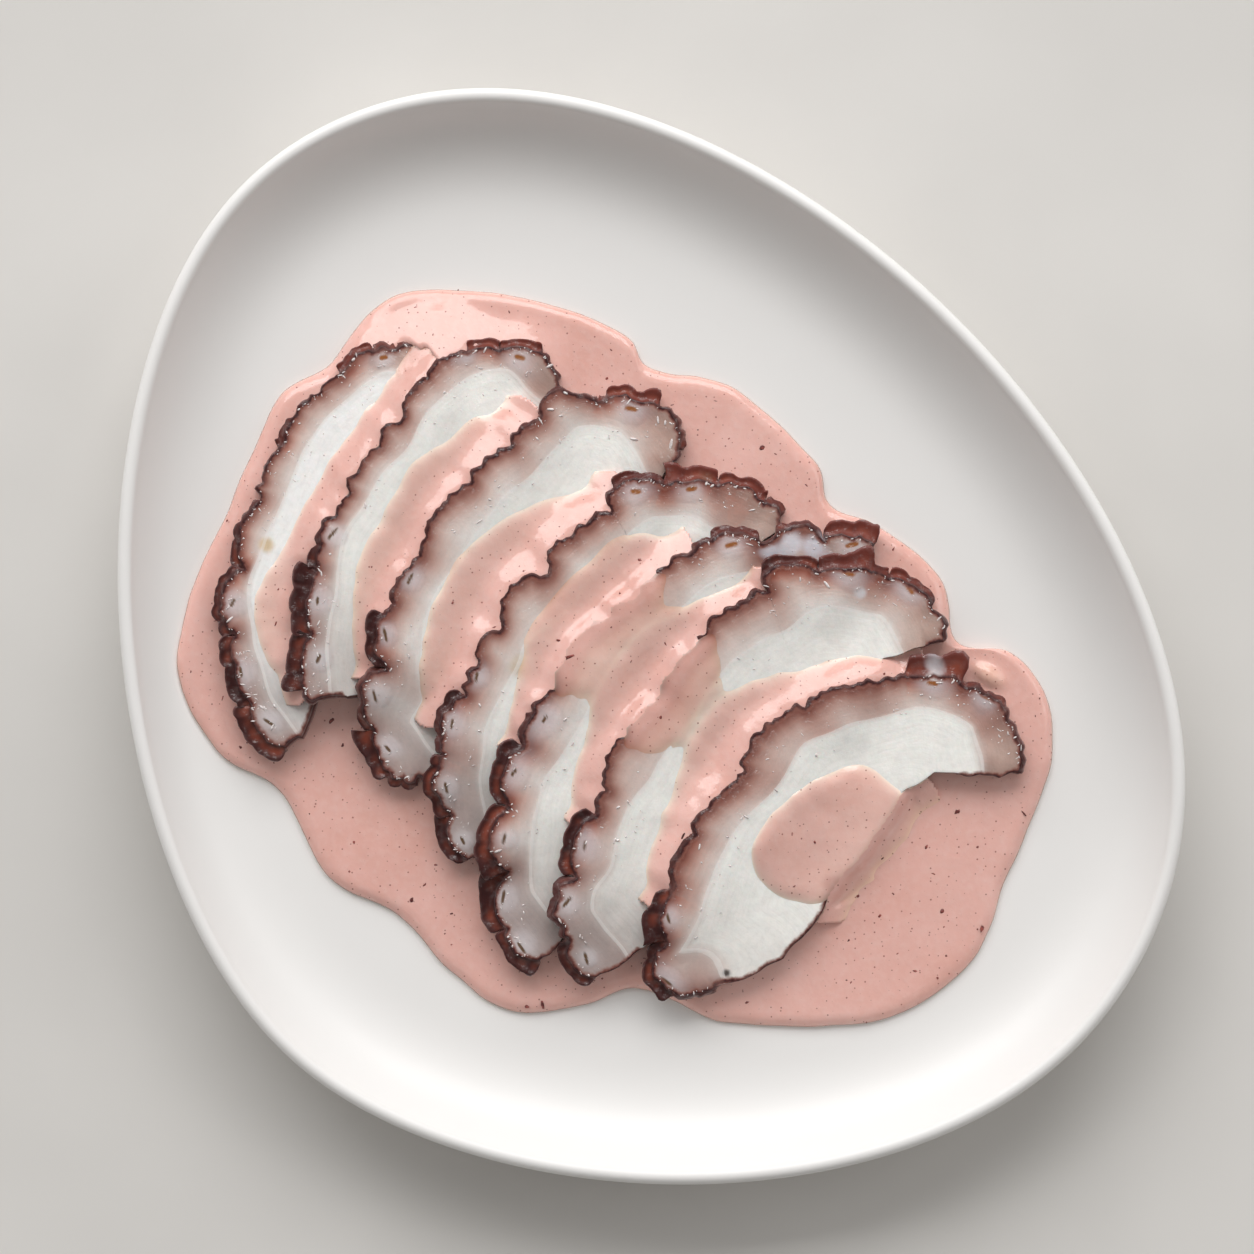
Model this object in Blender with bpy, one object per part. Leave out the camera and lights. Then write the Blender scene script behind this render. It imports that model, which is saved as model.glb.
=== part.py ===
"""Sliced octopus arm in a pink sauce, fanned out on a pebble-shaped porcelain plate.

Seven slanting slices of one thick cooked arm lie like fallen dominoes, each with its outer,
suckered edge on the slice before it, in a pool of thick sauce. Sizes are in millimetres
until they become meshes. +X is to the eater's right, +Y away from the eater, +Z up, and the
origin is under the middle of the plate's box, on the table.
"""

import bmesh
import bpy
import numpy as np

MM = 0.001
GAP = 0.35
TINY = 1e-6

# The plate: its outline's mean radius, and the waves that make it a pebble:
# (waves in one turn, height, turn in degrees). Insets are measured in from the outline.
PLATE_RADIUS = 121.5
PLATE_WAVES = ((2, 11.5, 49.0), (3, 5.4, 11.6), (4, 0.9, 41.7), (5, 1.0, -9.0))
PLATE_HEIGHT = 20.0
FLOOR_HEIGHT = 6.0
FLOOR_DIP = 0.5
FLOOR_START = 26.0
FLOOR_FLAT = 44.0
LIP_RADIUS = 1.7
LIP_FOOT = PLATE_HEIGHT - LIP_RADIUS
LIP_TURNS = np.radians((50.0, 100.0, 150.0))
WALL_STEEPEST = np.radians(62.0)
WALL_EASING = 1.5
WALL_SAMPLES = 60
WALL_INSETS = (FLOOR_START, 18.0, 13.0, 9.0, 6.0)
OUTSIDE_SECTION = [(0.0, 17.8), (1.5, 13.8), (6.5, 7.4), (16.0, 3.4), (29.0, 1.9)]
FOOT_OUTER = 37.0
FOOT_WIDTH = 5.0
FOOT_BEVEL = 0.7
FOOT_RECESS = 1.4
PLATE_SIDES = 72

# The sauce pool: a thick layer with a rounded edge. Its rings are (inset, depth) near the
# edge and shares of the way from the centre further in, where it has its full depth.
# It thins where it climbs the plate's wall.
POOL_DEPTH = 2.1
POOL_EDGE = ((0.0, 0.5), (0.8, 1.25), (2.6, 1.85), (7.0, POOL_DEPTH))
POOL_TOP_SHARES = (0.72, 0.42)
POOL_UNDER_SHARES = (0.3, 0.62)
POOL_UNDER_INSETS = (7.0, 2.4)
POOL_CLIMB = 5.0
POOL_THINNING = 0.6
POOL_CENTRE = (-6.0, -6.0)
POOL_SIDES = 64
CURVE_SAMPLES = 12
POOL_OUTLINE = (
    (90.5, -28.0), (89.0, -13.0), (80.5, -3.5), (69.0, -1.0), (65.5, 13.0), (52.0, 24.5),
    (40.5, 30.0), (36.5, 40.0), (18.5, 56.0), (0.0, 60.5), (-6.5, 68.5), (-30.0, 76.5),
    (-52.0, 78.0), (-63.0, 73.5), (-72.5, 61.5), (-83.5, 54.0), (-92.5, 35.5), (-105.0, 6.0),
    (-105.5, -12.0), (-96.0, -27.5), (-83.5, -35.0), (-73.5, -53.5), (-57.0, -63.0),
    (-44.0, -76.5), (-32.0, -84.5), (-15.0, -83.5), (-2.5, -79.5), (15.0, -86.5),
    (37.0, -88.0), (57.5, -85.0), (73.5, -72.5), (79.0, -57.0), (84.5, -45.0),
)  # fmt: skip

# The slices. Each skin edge runs from the slice's far end round the outside to its near end:
# (x, y) of a notch, then how far the edge bulges before the next notch, and how far the
# side wall, a sucker's flared rim where it is large, stands out beyond the cut face.
# The inner edge runs the same way, under the next slice.
SLICE_THICKNESS = 3.8
WALL_SHARE = 0.38
WALL_FLARE = 0.25
FOOT_SHARE = 0.45
BULGE_POWER = 2.6
SKIN_STEP = 3.6
ACROSS = (0.0, 0.22, 0.5, 0.78, 1.0)
SLICES = (
    (
        ((-49, 62, 1.6, 1.8), (-57, 64, 1.0, 2.0), (-62.5, 63.5, 1.5, 2.2), (-69.5, 58.5, 0.4, 0.5),
         (-80.5, 49, 0.5, 2.3), (-83, 42, 0.8, 0.5), (-88, 30.5, 0.6, 1.0), (-91.5, 25.5, 0.8, 2.2),
         (-91.5, 15, 4.0, 2.3), (-93, 0, 2.8, 3.2), (-89, -15, 2.8, 4.3), (-82, -24.5, 0.6, 0.8)),
        ((-46.5, 58.5), (-47, 50), (-54, 40), (-60, 30), (-65, 20), (-68, 8),
         (-70.5, -4), (-76, -15.5), (-78.5, -22.5)),
    ),
    (
        ((-21, 57.5, 0.5, 1.0), (-24.5, 63.5, 1.2, 2.7), (-34, 64, 1.0, 2.8), (-41, 63.5, 0.8, 0.8),
         (-49.5, 57.5, 0.8, 0.8), (-54.5, 52.5, 0.6, 0.6), (-67.5, 34, 0.8, 0.5), (-73.5, 23, 0.8, 2.2),
         (-74, 15, 1.8, 5.0), (-75.5, 0.5, 1.6, 4.8), (-77.5, -12, 0.5, 0.6)),
        ((-19.5, 54), (-24, 46), (-37, 28), (-44, 18), (-49, 8), (-53, -3),
         (-59, -11), (-68, -13.5)),
    ),
    (
        ((6, 42, 0.8, 1.6), (1.5, 51.5, 1.0, 3.2), (-12, 52, 1.8, 1.2), (-23.5, 53, 0.6, 0.6),
         (-34, 40.5, 0.9, 0.9), (-48.5, 26, 0.8, 0.7), (-55.5, 13, 0.9, 1.0), (-60, 5, 1.8, 2.8),
         (-60, -7, 3.8, 1.6), (-61.5, -20.5, 1.8, 4.3), (-58, -31, 0.8, 1.8),
         (-53, -32.5, 0.4, 0.4)),
        ((3, 37), (-1, 30), (-12, 20), (-22.5, 9), (-27.5, -1), (-33, -10), (-39.5, -20),
         (-45.5, -29), (-51, -32)),
    ),
    (
        ((29, 27, 0.5, 2.0), (26, 30.5, 1.2, 3.0), (15, 34, 1.0, 4.6), (2.5, 33.5, 1.8, 2.4),
         (-9, 30, 0.9, 1.0), (-23.5, 18, 0.8, 0.8), (-32, 10, 0.8, 0.6), (-39, -5, 0.9, 1.0),
         (-41.5, -13, 3.4, 2.2), (-46, -26.5, 3.6, 2.8), (-44, -40, 3.0, 3.2),
         (-41, -50, 0.4, 0.4)),
        ((29, 24), (20.5, 17.5), (8, 9.5), (-5.5, 0), (-12.5, -10), (-19.5, -20), (-25, -30),
         (-28, -40), (-33.5, -47.5), (-39.5, -49.5)),
    ),
    (
        ((50, 20.5, 1.2, 4.5), (39, 21.5, 2.6, 1.6), (27, 21.5, 1.4, 2.0), (13.5, 21, 0.6, 1.2),
         (-3, 10, 0.6, 0.5), (-21.5, -9, 0.8, 1.2), (-28.5, -24.5, 3.0, 3.4), (-31.5, -38, 3.2, 4.0),
         (-33.5, -53, 2.0, 4.8), (-32.5, -65.5, 2.8, 3.4), (-25, -72.5, 0.4, 0.4)),
        ((47.5, 16.5), (41, 11), (33.5, 5), (21, -3), (12.5, -10), (4.5, -20), (-1, -30),
         (-5, -40), (-10.5, -50), (-14.5, -60), (-23, -71.5)),
    ),
    (
        ((65.5, -1, 0.5, 0.8), (64, 7, 1.2, 2.4), (51.5, 14, 1.0, 4.8), (37, 14, 2.2, 2.8),
         (25.5, 11.5, 0.8, 0.9), (10.5, -1, 0.6, 0.5), (-8.5, -26, 0.8, 0.8), (-12.5, -40, 2.4, 3.2),
         (-17, -53.5, 4.2, 1.8), (-18, -67, 2.8, 2.6), (-12.5, -76.5, 0.8, 0.4)),
        ((59.5, -2.5), (52, -5), (45.5, -14), (38, -22), (30, -32), (21.5, -43), (15, -52),
         (9, -61), (0, -68.5), (-6.5, -73.5)),
    ),
    (
        ((82.5, -30.5, 0.6, 1.0), (78.5, -16.5, 0.9, 1.4), (69, -10, 1.0, 6.2), (57, -9.5, 0.9, 0.9),
         (34, -15.5, 0.9, 0.6), (21, -27, 0.9, 0.6), (9.5, -44, 1.6, 1.8), (5, -57, 2.4, 5.0),
         (4, -68.5, 4.3, 3.0), (5.5, -80, 0.6, 1.0), (14, -79, 0.5, 0.4)),
        ((78, -31.5), (63.5, -30.5), (56.5, -35), (48, -47), (40.5, -55.5), (37, -64.5),
         (29.5, -72), (19.5, -77.5)),
    ),
)  # fmt: skip

# The height grid that the food is laid on, and how a slice drapes over what is below it.
GRID_STEP = 1.0
GRID_HALF = 126.0
DRAPE_ROUNDS = 400
DRAPE_SAG = 0.03
DRAPE_REACH = 2
MASK_MARGIN = 3
LIFT_ROUNDS = 12

COLLECTION = "octopus_plate"


def clear_scene():
    for obj in list(bpy.data.objects):
        bpy.data.objects.remove(obj, do_unlink=True)


def make_material(name, colour, roughness):
    """A plain dielectric finish; colour is linear red, green and blue."""
    material = bpy.data.materials.new(name)
    material.use_nodes = True
    shader = material.node_tree.nodes["Principled BSDF"]
    shader.inputs["Base Color"].default_value = (*colour, 1.0)
    shader.inputs["Roughness"].default_value = roughness
    shader.inputs["Metallic"].default_value = 0.0
    return material


def make_object(name, points, faces, material, collection):
    """A closed mesh object from points in millimetres, facing outwards."""
    mesh = bpy.data.meshes.new(name)
    mesh.from_pydata([tuple(point) for point in np.asarray(points) * MM], [], faces)
    work = bmesh.new()
    work.from_mesh(mesh)
    bmesh.ops.remove_doubles(work, verts=work.verts, dist=TINY)
    bmesh.ops.recalc_face_normals(work, faces=work.faces)
    work.to_mesh(mesh)
    work.free()
    mesh.shade_smooth()
    mesh.materials.append(material)
    obj = bpy.data.objects.new(name, mesh)
    collection.objects.link(obj)
    return obj


def bands(rings, size):
    """Triangles between successive closed rings of the same number of points."""
    triangles = []
    for ring in range(rings - 1):
        for side in range(size):
            a = ring * size + side
            b = ring * size + (side + 1) % size
            triangles.append((a, b, b + size))
            triangles.append((a, b + size, a + size))
    return triangles


# ---- the height grid ----

AXIS = np.arange(-GRID_HALF, GRID_HALF + GRID_STEP / 2, GRID_STEP)
GRID_X, GRID_Y = np.meshgrid(AXIS, AXIS)


def shifted(field):
    """The nine copies of a grid moved by one cell each way, edges repeated."""
    rows, columns = field.shape
    padded = np.pad(field, 1, mode="edge")
    return [padded[i : i + rows, j : j + columns] for i in range(3) for j in range(3)]


def spread(field, times=1):
    """The highest value within a few cells."""
    for _ in range(times):
        field = np.max(shifted(field), axis=0)
    return field


def read_grid(field, x, y):
    """The grid's height at points between its cells."""
    column = np.clip((np.asarray(x) + GRID_HALF) / GRID_STEP, 0, len(AXIS) - 1.001)
    row = np.clip((np.asarray(y) + GRID_HALF) / GRID_STEP, 0, len(AXIS) - 1.001)
    left, low = column.astype(int), row.astype(int)
    across, up = column - left, row - low
    lower = field[low, left] * (1 - across) + field[low, left + 1] * across
    upper = field[low + 1, left] * (1 - across) + field[low + 1, left + 1] * across
    return lower * (1 - up) + upper * up


def cells_below(corners):
    """The grid cells that a triangle covers, and its height over each."""
    low = np.floor((corners[:, :2].min(axis=0) + GRID_HALF) / GRID_STEP).astype(int)
    high = np.ceil((corners[:, :2].max(axis=0) + GRID_HALF) / GRID_STEP).astype(int) + 1
    columns, rows = np.meshgrid(np.arange(low[0], high[0]), np.arange(low[1], high[1]))
    offset = np.stack((AXIS[columns] - corners[0, 0], AXIS[rows] - corners[0, 1]))
    side, other = corners[1] - corners[0], corners[2] - corners[0]
    area = side[0] * other[1] - side[1] * other[0]
    if abs(area) < TINY:
        return None
    first = (offset[0] * other[1] - offset[1] * other[0]) / area
    second = (side[0] * offset[1] - side[1] * offset[0]) / area
    inside = (first >= -TINY) & (second >= -TINY) & (first + second <= 1 + TINY)
    height = corners[0, 2] + first * side[2] + second * other[2]
    return rows[inside], columns[inside], height[inside]


def pile_up(pile, points, triangles):
    """The pile with a solid laid on it."""
    pile = pile.copy()
    for triangle in triangles:
        found = cells_below(points[list(triangle)])
        if found is not None:
            rows, columns, height = found
            np.maximum.at(pile, (rows, columns), height)
    return pile


def lift_clear(points, triangles, pile):
    """Raises the points of an underside until each triangle clears the pile by the gap."""
    needed_floor = spread(pile) + GAP
    for _ in range(LIFT_ROUNDS):
        needed = read_grid(needed_floor, points[:, 0], points[:, 1]) - points[:, 2]
        for triangle in triangles:
            corners = list(triangle)
            found = cells_below(points[corners])
            if found is None or not len(found[0]):
                continue
            rows, columns, height = found
            short = (needed_floor[rows, columns] - height).max()
            needed[corners] = np.maximum(needed[corners], short)
        if needed.max() < TINY:
            break
        points[:, 2] += np.maximum(needed, 0.0)
    return points


# ---- the plate ----


def support(angle):
    """Distance of the outline's tangent from the middle, and its slope, at an angle."""
    distance = np.full_like(angle, PLATE_RADIUS)
    slope = np.zeros_like(angle)
    for waves, height, turn in PLATE_WAVES:
        phase = waves * (angle + np.radians(turn))
        distance += height * np.cos(phase)
        slope -= height * waves * np.sin(phase)
    return distance, slope


def plate_ring(inset):
    """The outline drawn in by an even distance all round; an array of (x, y)."""
    angle = np.linspace(0.0, 2 * np.pi, PLATE_SIDES, endpoint=False)
    distance, slope = support(angle)
    outer = outline_points(angle, distance, slope)
    middle = (outer.min(axis=0) + outer.max(axis=0)) / 2
    return outline_points(angle, distance - inset, slope) - middle


def outline_points(angle, distance, slope):
    """The points where the outline touches its tangents."""
    x = distance * np.cos(angle) - slope * np.sin(angle)
    y = distance * np.sin(angle) + slope * np.cos(angle)
    return np.stack((x, y), axis=1)


def wall_section():
    """Inset and height down the inner wall, whose slope eases to the flat floor."""
    start = 2 * LIP_RADIUS
    inset = np.linspace(start, FLOOR_START, WALL_SAMPLES)
    fall = 1 - (inset - start) / (FLOOR_START - start)
    slope = np.tan(WALL_STEEPEST * fall**WALL_EASING)
    step = inset[1] - inset[0]
    climb = np.concatenate(([0.0], np.cumsum((slope[1:] + slope[:-1]) / 2 * step)))
    return inset, FLOOR_HEIGHT + (LIP_FOOT - FLOOR_HEIGHT) * (1 - climb / climb[-1])


def plate_section():
    """(inset, height) from the floor, over the lip and down the outside to the foot."""
    wall_inset, wall_height = wall_section()
    section = [(FLOOR_FLAT, FLOOR_HEIGHT - FLOOR_DIP)]
    for inset in WALL_INSETS:
        section.append((inset, np.interp(inset, wall_inset, wall_height)))
    section.append((2 * LIP_RADIUS, LIP_FOOT))
    for turn in LIP_TURNS:
        inset = LIP_RADIUS * (1 + np.cos(turn))
        section.append((inset, LIP_FOOT + LIP_RADIUS * np.sin(turn)))
    section += OUTSIDE_SECTION
    foot_inner = FOOT_OUTER + FOOT_WIDTH
    section += [(FOOT_OUTER, FOOT_RECESS), (FOOT_OUTER + FOOT_BEVEL, 0.0)]
    section += [(foot_inner, 0.0), (foot_inner + FOOT_BEVEL, FOOT_RECESS)]
    return section


def plate_solid():
    """The pebble plate: one section carried round the outline, its middle closed."""
    section = plate_section()
    rings = []
    for inset, height in section:
        ring = plate_ring(inset)
        rings.append(np.column_stack((ring, np.full(len(ring), height))))
    centre = plate_ring(section[0][0]).mean(axis=0)
    points = np.vstack(rings + [[(*centre, FLOOR_HEIGHT - FLOOR_DIP)], [(*centre, FOOT_RECESS)]])
    triangles = bands(len(rings), PLATE_SIDES)
    top, bottom, last = len(points) - 2, len(points) - 1, (len(rings) - 1) * PLATE_SIDES
    for side in range(PLATE_SIDES):
        after = (side + 1) % PLATE_SIDES
        triangles.append((top, after, side))
        triangles.append((bottom, last + side, last + after))
    return points, triangles


# ---- the sauce pool ----


def closed_curve(anchors, count):
    """A smooth closed curve through the anchors, evenly spaced along its length."""
    anchors = np.asarray(anchors, float)
    before, after = np.roll(anchors, 1, axis=0), np.roll(anchors, -1, axis=0)
    tangent = (after - before) / 2
    share = np.linspace(0, 1, CURVE_SAMPLES, endpoint=False)[:, None, None]
    start, end = anchors[None], after[None]
    lean = np.roll(tangent, -1, axis=0)[None]
    curve = (
        (2 * share**3 - 3 * share**2 + 1) * start
        + (share**3 - 2 * share**2 + share) * tangent[None]
        + (3 * share**2 - 2 * share**3) * end
        + (share**3 - share**2) * lean
    )
    points = curve.transpose(1, 0, 2).reshape(-1, 2)
    return resample(np.vstack((points, points[:1])), np.linspace(0, 1, count, endpoint=False))


def resample(points, shares):
    """Points at given shares of a polyline's length."""
    steps = np.linalg.norm(np.diff(points, axis=0), axis=1)
    length = np.concatenate(([0.0], np.cumsum(steps)))
    length /= length[-1]
    return np.stack([np.interp(shares, length, points[:, axis]) for axis in (0, 1)], axis=1)


def pool_solid(pile):
    """A sheet of sauce: rings from the rounded edge to the middle, over and under."""
    outline = closed_curve(POOL_OUTLINE, POOL_SIDES)
    centre = np.array(POOL_CENTRE)
    spokes = outline - centre
    reach = np.linalg.norm(spokes, axis=1, keepdims=True)
    under = [centre + spokes * share for share in POOL_UNDER_SHARES]
    under += [centre + spokes * (1 - inset / reach) for inset in POOL_UNDER_INSETS]
    over = [(centre + spokes * (1 - inset / reach), depth) for inset, depth in POOL_EDGE]
    over += [(centre + spokes * share, POOL_DEPTH) for share in POOL_TOP_SHARES]
    lows = np.vstack([np.column_stack((ring, read_grid(pile, *ring.T))) for ring in under])
    lows[:, 2] += GAP
    size = POOL_SIDES
    floor_triangles = bands(len(under), size)
    lows = lift_clear(lows, floor_triangles, pile)
    highs = []
    for ring, depth in over:
        ground = read_grid(pile, *ring.T) + GAP
        climb = np.clip((ground - FLOOR_HEIGHT - GAP) / POOL_CLIMB, 0.0, POOL_THINNING)
        highs.append(np.column_stack((ring, ground + depth * (1 - climb))))
    points = np.vstack([lows] + highs)
    rings_made = len(under) + len(over)
    middle = read_grid(pile, *centre) + GAP
    points = np.vstack((points, [(*centre, middle)], [(*centre, middle + POOL_DEPTH)]))
    triangles = bands(rings_made, size)
    low_middle, high_middle, last = len(points) - 2, len(points) - 1, (rings_made - 1) * size
    for side in range(size):
        after = (side + 1) % size
        triangles.append((low_middle, after, side))
        triangles.append((high_middle, last + side, last + after))
    return points, triangles


# ---- the slices ----


def skin_edge(anchors, inner_start):
    """The scalloped skin edge as (x, y) and how far the wall flares at each point."""
    places = np.array([anchor[:2] for anchor in anchors] + [inner_start], float)
    points, flares = [], []
    for index, (_, _, bulge, flare) in enumerate(anchors):
        start, end = places[index], places[index + 1]
        along = end - start
        chord = np.linalg.norm(along)
        outward = np.array((along[1], -along[0])) / chord
        count = max(2, round(chord / SKIN_STEP))
        share = np.arange(count) / count
        crown = 1 - np.abs(2 * share - 1) ** BULGE_POWER
        points.append(start + share[:, None] * along + (bulge * crown)[:, None] * outward)
        flares.append(WALL_FLARE + flare * crown)
    points.append(places[-1:])
    flares.append([WALL_FLARE])
    return np.vstack(points), np.concatenate(flares)


def slice_grid(anchors, inner):
    """Rows of points from the skin edge across to the inner edge, and the rim's flares."""
    skin, flares = skin_edge(anchors[:-1], anchors[-1][:2])
    steps = np.linalg.norm(np.diff(skin, axis=0), axis=1)
    shares = np.concatenate(([0.0], np.cumsum(steps))) / steps.sum()
    far = resample(np.array(inner, float), shares)
    across = np.array(ACROSS)[None, :, None]
    return skin[:, None] * (1 - across) + far[:, None] * across, flares


def border(rows, columns):
    """Grid indices once round the border, starting along the skin edge."""
    loop = [(row, 0) for row in range(rows)]
    loop += [(rows - 1, column) for column in range(1, columns)]
    loop += [(row, columns - 1) for row in range(rows - 2, -1, -1)]
    loop += [(0, column) for column in range(columns - 2, 0, -1)]
    return loop


def outward_normals(ring):
    """Unit vectors pointing out of a ring that runs anticlockwise."""
    along = np.roll(ring, -1, axis=0) - np.roll(ring, 1, axis=0)
    normal = np.stack((along[:, 1], -along[:, 0]), axis=1)
    return normal / np.linalg.norm(normal, axis=1, keepdims=True)


def inside_outline(ring):
    """Grid cells inside a closed outline, by counting crossings to the right."""
    inside = np.zeros(GRID_X.shape, bool)
    for (x0, y0), (x1, y1) in zip(ring, np.roll(ring, -1, axis=0)):
        if y0 == y1:
            continue
        crossing = x0 + (GRID_Y - y0) * (x1 - x0) / (y1 - y0)
        inside ^= ((y0 > GRID_Y) != (y1 > GRID_Y)) & (GRID_X < crossing)
    return inside


def drape(pile, mask):
    """A limp sheet's underside over the pile: it bridges hollows and sags past edges."""
    floor = np.mean(shifted(spread(pile, DRAPE_REACH)), axis=0) + GAP
    weight = mask.astype(float)
    share = np.sum(shifted(weight), axis=0)
    sheet = floor.copy()
    for _ in range(DRAPE_ROUNDS):
        mean = np.sum(shifted(sheet * weight), axis=0) / np.maximum(share, 1.0)
        sheet = np.where(mask, np.maximum(mean - DRAPE_SAG, floor), floor)
    return sheet


def slice_solid(anchors, inner, pile):
    """One slice: a face, an underside that follows the pile, and a flared wall."""
    plan, flares = slice_grid(anchors, inner)
    rows, columns = plan.shape[:2]
    loop = border(rows, columns)
    rim = np.array([plan[place] for place in loop])
    flare = np.full(len(loop), WALL_FLARE)
    flare[:rows] = flares
    outward = outward_normals(rim)
    widest = rim + outward * flare[:, None]
    sheet = drape(pile, spread(inside_outline(widest), MASK_MARGIN))

    low_plan = plan.copy()
    for place, point, normal, reach in zip(loop, rim, outward, flare):
        low_plan[place] = point + normal * reach * FOOT_SHARE
    low = np.column_stack((low_plan.reshape(-1, 2), read_grid(sheet, *low_plan.reshape(-1, 2).T)))
    low_rim = [row * columns + column for row, column in loop]
    ring_height = low[low_rim, 2] + SLICE_THICKNESS * WALL_SHARE
    underside = np.vstack((low, np.column_stack((widest, ring_height))))

    size = rows * columns
    wall = len(loop)
    low_faces = []
    for row in range(rows - 1):
        for column in range(columns - 1):
            a = row * columns + column
            low_faces += [(a, a + 1, a + columns + 1), (a, a + columns + 1, a + columns)]
    for side in range(wall):
        after = (side + 1) % wall
        a, b = low_rim[side], low_rim[after]
        low_faces += [(a, b, size + after), (a, size + after, size + side)]
    underside = lift_clear(underside, low_faces, pile)

    high = np.column_stack((plan.reshape(-1, 2), underside[:size, 2] + SLICE_THICKNESS))
    points = np.vstack((underside, high))
    shift = size + wall
    faces = list(low_faces)
    for a, b, c in low_faces[: 2 * (rows - 1) * (columns - 1)]:
        faces.append((a + shift, c + shift, b + shift))
    for side in range(wall):
        after = (side + 1) % wall
        a, b = low_rim[side] + shift, low_rim[after] + shift
        faces += [(size + side, size + after, b), (size + side, b, a)]
    return points, faces


def main():
    clear_scene()
    collection = bpy.data.collections.new(COLLECTION)
    bpy.context.scene.collection.children.link(collection)
    porcelain = make_material("porcelain", (0.78, 0.77, 0.76), 0.28)
    sauce = make_material("olive_mayonnaise", (0.66, 0.37, 0.33), 0.35)
    flesh = make_material("octopus_flesh", (0.66, 0.62, 0.59), 0.3)

    pile = np.zeros(GRID_X.shape)
    points, triangles = plate_solid()
    make_object("plate", points, triangles, porcelain, collection)
    pile = pile_up(pile, points, triangles)
    points, triangles = pool_solid(pile)
    make_object("sauce_pool", points, triangles, sauce, collection)
    pile = pile_up(pile, points, triangles)
    for number, (anchors, inner) in enumerate(SLICES, start=1):
        points, triangles = slice_solid(anchors, inner, pile)
        make_object(f"slice_{number}", points, triangles, flesh, collection)
        pile = pile_up(pile, points, triangles)


main()
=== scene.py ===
# %% [markdown]
# # Sliced octopus arm in olive sauce
# This notebook dresses the plain solids of a served dish: seven slices of cooked octopus arm,
# fanned over a pool of pink olive sauce on a pebble-shaped porcelain plate. Every surface is
# worked out with numpy as a function of two parameters, in millimetres, and made a mesh at the
# end. The first cell loads the solids, which say where everything lies.

import bpy
import numpy as np
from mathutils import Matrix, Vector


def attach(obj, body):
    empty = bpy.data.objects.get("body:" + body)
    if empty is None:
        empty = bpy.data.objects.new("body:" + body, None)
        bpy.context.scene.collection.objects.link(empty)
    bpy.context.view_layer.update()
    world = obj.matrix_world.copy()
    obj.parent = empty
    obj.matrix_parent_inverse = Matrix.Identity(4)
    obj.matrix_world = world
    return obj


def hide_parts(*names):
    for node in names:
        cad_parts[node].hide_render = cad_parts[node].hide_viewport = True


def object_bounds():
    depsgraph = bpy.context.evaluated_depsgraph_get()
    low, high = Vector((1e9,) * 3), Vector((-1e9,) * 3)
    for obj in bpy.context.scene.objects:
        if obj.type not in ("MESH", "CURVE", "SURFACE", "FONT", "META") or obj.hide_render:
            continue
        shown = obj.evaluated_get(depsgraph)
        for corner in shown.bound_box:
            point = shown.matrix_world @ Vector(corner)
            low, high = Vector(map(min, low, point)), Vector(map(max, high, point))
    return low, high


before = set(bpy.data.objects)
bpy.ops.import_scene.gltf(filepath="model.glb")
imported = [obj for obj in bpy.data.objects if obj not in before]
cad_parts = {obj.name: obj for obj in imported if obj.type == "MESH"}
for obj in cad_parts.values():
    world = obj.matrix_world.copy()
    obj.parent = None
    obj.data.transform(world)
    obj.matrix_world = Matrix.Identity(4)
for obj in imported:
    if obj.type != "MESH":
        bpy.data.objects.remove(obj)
CAD_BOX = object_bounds()
MM = 0.001
print("solids:", sorted(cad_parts))
print("box in mm:", [[round(v / MM, 1) for v in corner] for corner in CAD_BOX])

# %% [markdown]
# ## Small helpers for colour and nodes
# Colours are written as the eye reads them, as sRGB hex values, and a shader wants linear light,
# so one function converts them. A second one adds a node with its settings and links.

# %% Colour and node helpers
def linear(colour):
    """sRGB hex to linear: each channel c is c/12.92 when dark, else ((c + 0.055)/1.055)^2.4."""
    channels = np.array([int(colour[i : i + 2], 16) for i in (1, 3, 5)]) / 255
    return np.where(channels < 0.04045, channels / 12.92, ((channels + 0.055) / 1.055) ** 2.4)


def rgba(colour):
    return (*linear(colour), 1.0)


def node(tree, kind, inputs=(), **settings):
    """Adds a node; inputs maps a socket's name or number to a value or another socket."""
    made = tree.nodes.new(kind)
    for name, value in settings.items():
        setattr(made, name, value)
    for socket, value in dict(inputs).items():
        if isinstance(value, bpy.types.NodeSocket):
            tree.links.new(value, made.inputs[socket])
        else:
            made.inputs[socket].default_value = value
    return made


def new_material(name):
    """A material, its node tree and the Principled shader in it."""
    material = bpy.data.materials.new(name)
    material.use_nodes = True
    tree = material.node_tree
    return material, tree, tree.nodes["Principled BSDF"]


print("sauce pink as linear light:", np.round(linear("#d8a79b"), 3))

# %% [markdown]
# ## Height fields
# Food lies on food, so most shapes here need to know how high the things below them are. A
# height field is a grid of heights in plan, half a millimetre apart. Blurring one is how a thick
# sauce or a limp slice smooths out the steps below it.

# %% The height grid
STEP = 0.5
HALF = 126.0
AXIS = np.arange(-HALF, HALF + STEP / 2, STEP)
GRID_X, GRID_Y = np.meshgrid(AXIS, AXIS)


def smooth(value, low, high):
    """0 below low, 1 above high, and 3t^2 - 2t^3 between."""
    share = np.clip((value - low) / (high - low), 0.0, 1.0)
    return share * share * (3 - 2 * share)


def blurred(field, sigma):
    """A Gaussian blur whose width sigma is in mm: one row of weights along y, then along x."""
    reach = int(3 * sigma / STEP) + 1
    taps = np.exp(-0.5 * (np.arange(-reach, reach + 1) * STEP / sigma) ** 2)
    taps /= taps.sum()
    for _ in range(2):
        count = len(field)
        padded = np.pad(field, ((reach, reach), (0, 0)), mode="edge")
        field = sum(tap * padded[i : i + count] for i, tap in enumerate(taps)).T
    return field


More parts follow.
